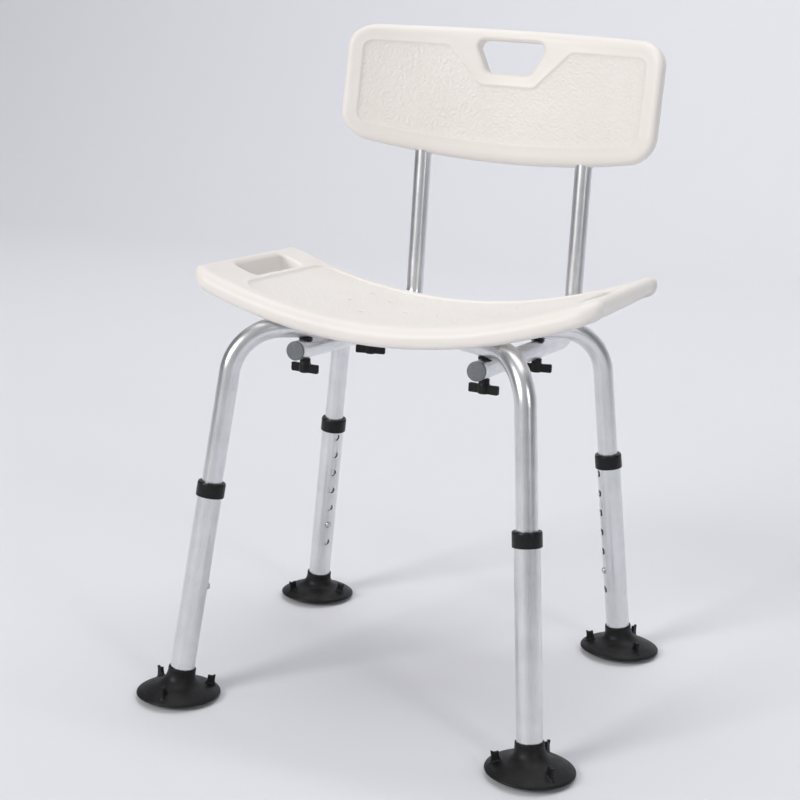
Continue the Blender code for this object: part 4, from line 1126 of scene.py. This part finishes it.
def build_board_screw(name, place):
    """Domed screw with a cross drive."""
    seat = SCREW_POCKET + GAP
    top = seat + SCREW_HEAD_HEIGHT
    profile = fillet_profile([
        (SCREW_POINT, SCREW_TIP, 0), (SCREW_RADIUS, SCREW_TIP + 2 * MM, 0),
        (SCREW_RADIUS, seat, 0), (SCREW_HEAD_RADIUS, seat, 0),
        (SCREW_HEAD_RADIUS, top, SCREW_HEAD_ROUND), (0.3 * MM, top, 0)])
    points, faces, uvs = lathe(place, BOARD_NORMAL, profile, 40)
    screw = add_piece(f"screw_{name}", points, faces, "stainless_steel", "chair_frame",
                      [f"board_screw_{name}"], uvs)
    floor = place + BOARD_NORMAL * (top - DRIVE_DEPTH)
    for along, wide in ((ACROSS, BOARD_UP), (BOARD_UP, ACROSS)):
        arm, depth = along * DRIVE_HALF_LENGTH, BOARD_NORMAL * DRIVE_REACH
        outline = [floor - arm, floor + arm, floor + arm + depth, floor - arm + depth]
        points, faces, _ = prism(outline, wide * DRIVE_HALF_WIDTH)
        cut(screw, tool_object(points, faces))


# Light, floor and camera

CAMERA_PLACE = Vector((0.6647, -1.5967, 0.5400))
CAMERA_FORWARD = Vector((-0.39126, 0.90187, -0.18313))
CAMERA_UP = Vector((-0.11369, 0.15010, 0.98211))
CAMERA_LENS = 66.36


def build_camera():
    """Camera at the photograph's viewing angle, a little right of the front."""
    data = bpy.data.cameras.new("camera")
    data.lens = CAMERA_LENS
    data.sensor_width = 36.0
    camera = bpy.data.objects.new("camera", data)
    bpy.context.scene.collection.objects.link(camera)
    forward = STAND_TURN @ CAMERA_FORWARD.normalized()
    up = STAND_TURN @ CAMERA_UP
    right = forward.cross(up).normalized()
    up = right.cross(forward)
    turn = Matrix((right, up, -forward)).transposed()
    camera.matrix_world = Matrix.Translation(STAND @ CAMERA_PLACE) @ turn.to_4x4()
    bpy.context.scene.camera = camera
    bpy.context.scene.view_settings.view_transform = "Standard"


FLOOR_FRONT, FLOOR_REAR, FLOOR_WIDTH = -30.0, 3.0, 30.0
SWEEP_RADIUS, SWEEP_STEPS, BACKDROP_HEIGHT = 2.0, 16, 9.0


def build_floor():
    """Pale seamless floor that sweeps up into a backdrop."""
    profile = [(FLOOR_FRONT, 0.0), (FLOOR_REAR, 0.0)]
    for step in range(1, SWEEP_STEPS + 1):
        angle = math.pi / 2 * step / SWEEP_STEPS
        profile.append((FLOOR_REAR + SWEEP_RADIUS * math.sin(angle),
                        SWEEP_RADIUS - SWEEP_RADIUS * math.cos(angle)))
    profile.append((FLOOR_REAR + SWEEP_RADIUS, BACKDROP_HEIGHT))
    points = [(x, y, z) for y, z in profile for x in (-FLOOR_WIDTH, FLOOR_WIDTH)]
    faces = [(2 * i, 2 * i + 1, 2 * i + 3, 2 * i + 2) for i in range(len(profile) - 1)]
    mesh = bpy.data.meshes.new("floor")
    mesh.from_pydata(points, [], faces)
    mesh.shade_smooth()
    n = Nodes("studio_floor")
    n.set(Base_Color=(0.76, 0.765, 0.80, 1.0), Roughness=0.85, Specular_IOR_Level=0.2)
    mesh.materials.append(n.material)
    floor = bpy.data.objects.new("floor", mesh)
    bpy.context.scene.collection.objects.link(floor)


WORLD_FADE = {"From Min": 0.25, "From Max": 0.85, "To Min": 0.46, "To Max": 0.17}


def add_softbox(name, place, target, size, power, color=(1.0, 1.0, 1.0)):
    data = bpy.data.lights.new(name, "AREA")
    data.shape = "RECTANGLE"
    data.size, data.size_y = size
    data.energy = power
    data.color = color
    light = bpy.data.objects.new(name, data)
    bpy.context.scene.collection.objects.link(light)
    light.location = place
    direction = Vector(target) - Vector(place)
    light.rotation_mode = "QUATERNION"
    light.rotation_quaternion = direction.to_track_quat("-Z", "Y")


def build_world():
    """Dim surroundings, darker to the left and right, that the tubes can mirror."""
    world = bpy.data.worlds.new("studio")
    bpy.context.scene.world = world
    world.use_nodes = True
    tree = world.node_tree
    direction = tree.nodes.new("ShaderNodeTexCoord").outputs["Generated"]
    split = tree.nodes.new("ShaderNodeSeparateXYZ")
    tree.links.new(direction, split.inputs[0])
    aside = tree.nodes.new("ShaderNodeMath")
    aside.operation = "ABSOLUTE"
    tree.links.new(split.outputs["X"], aside.inputs[0])
    fade = tree.nodes.new("ShaderNodeMapRange")
    tree.links.new(aside.outputs[0], fade.inputs["Value"])
    for socket, value in WORLD_FADE.items():
        fade.inputs[socket].default_value = value
    background = tree.nodes["Background"]
    background.inputs["Color"].default_value = (0.96, 0.97, 1.0, 1.0)
    tree.links.new(fade.outputs["Result"], background.inputs["Strength"])


def build_lights():
    target = (0.0, 0.0, 0.4)
    add_softbox("key", (-3.2, -5.2, 3.6), target, (2.2, 2.4), 215, (1.0, 0.985, 0.96))
    add_softbox("top", (0.3, 0.6, 6.0), target, (5.0, 5.0), 104)
    add_softbox("strip", (4.4, -2.6, 2.6), target, (0.9, 2.4), 40, (0.97, 0.98, 1.0))
    add_softbox("backdrop_light", (0.0, 1.6, 4.6), (0.0, 5.0, 1.0), (5.0, 1.0), 66)


def dress_hidden_nodes():
    """Give the CAD pieces that stay their worked materials."""
    slots = {part["node"]: part["material_slot"] for part in frame["record"]["subparts"]}
    for name, node in frame["nodes"].items():
        if not node.hide_render:
            material = MATERIALS[slots[name]]
            for slot in node.material_slots:
                slot.material = material


def main():
    build_camera()
    build_floor()
    build_world()
    build_lights()
    build_seat()
    build_back_board()
    build_arch("arch_upper", 1, UPPER_CRIMP_LIFT)
    build_arch("arch_lower", -1, LOWER_CRIMP_LIFT)
    build_centre_bolt()
    build_board_screws()
    for name, side in SIDES.items():
        build_back_tube(name, side)
        build_end_cap(name, side)
    for name, (side_x, side_y, hole, turn_degrees) in LEGS.items():
        body = f"leg_{name}"
        collar_top, end, axis = build_lower_leg(name, side_x, side_y, hole, body)
        build_collar(name, collar_top, axis, body)
        build_foot(name, end, axis, turn_degrees, body)
        build_snap_button(name, side_x, side_y)
        build_wing_knob(name, side_x, side_y)
        build_stud(name, side_x, side_y)
        build_saddle(name, side_x, side_y)
    dress_hidden_nodes()


main()
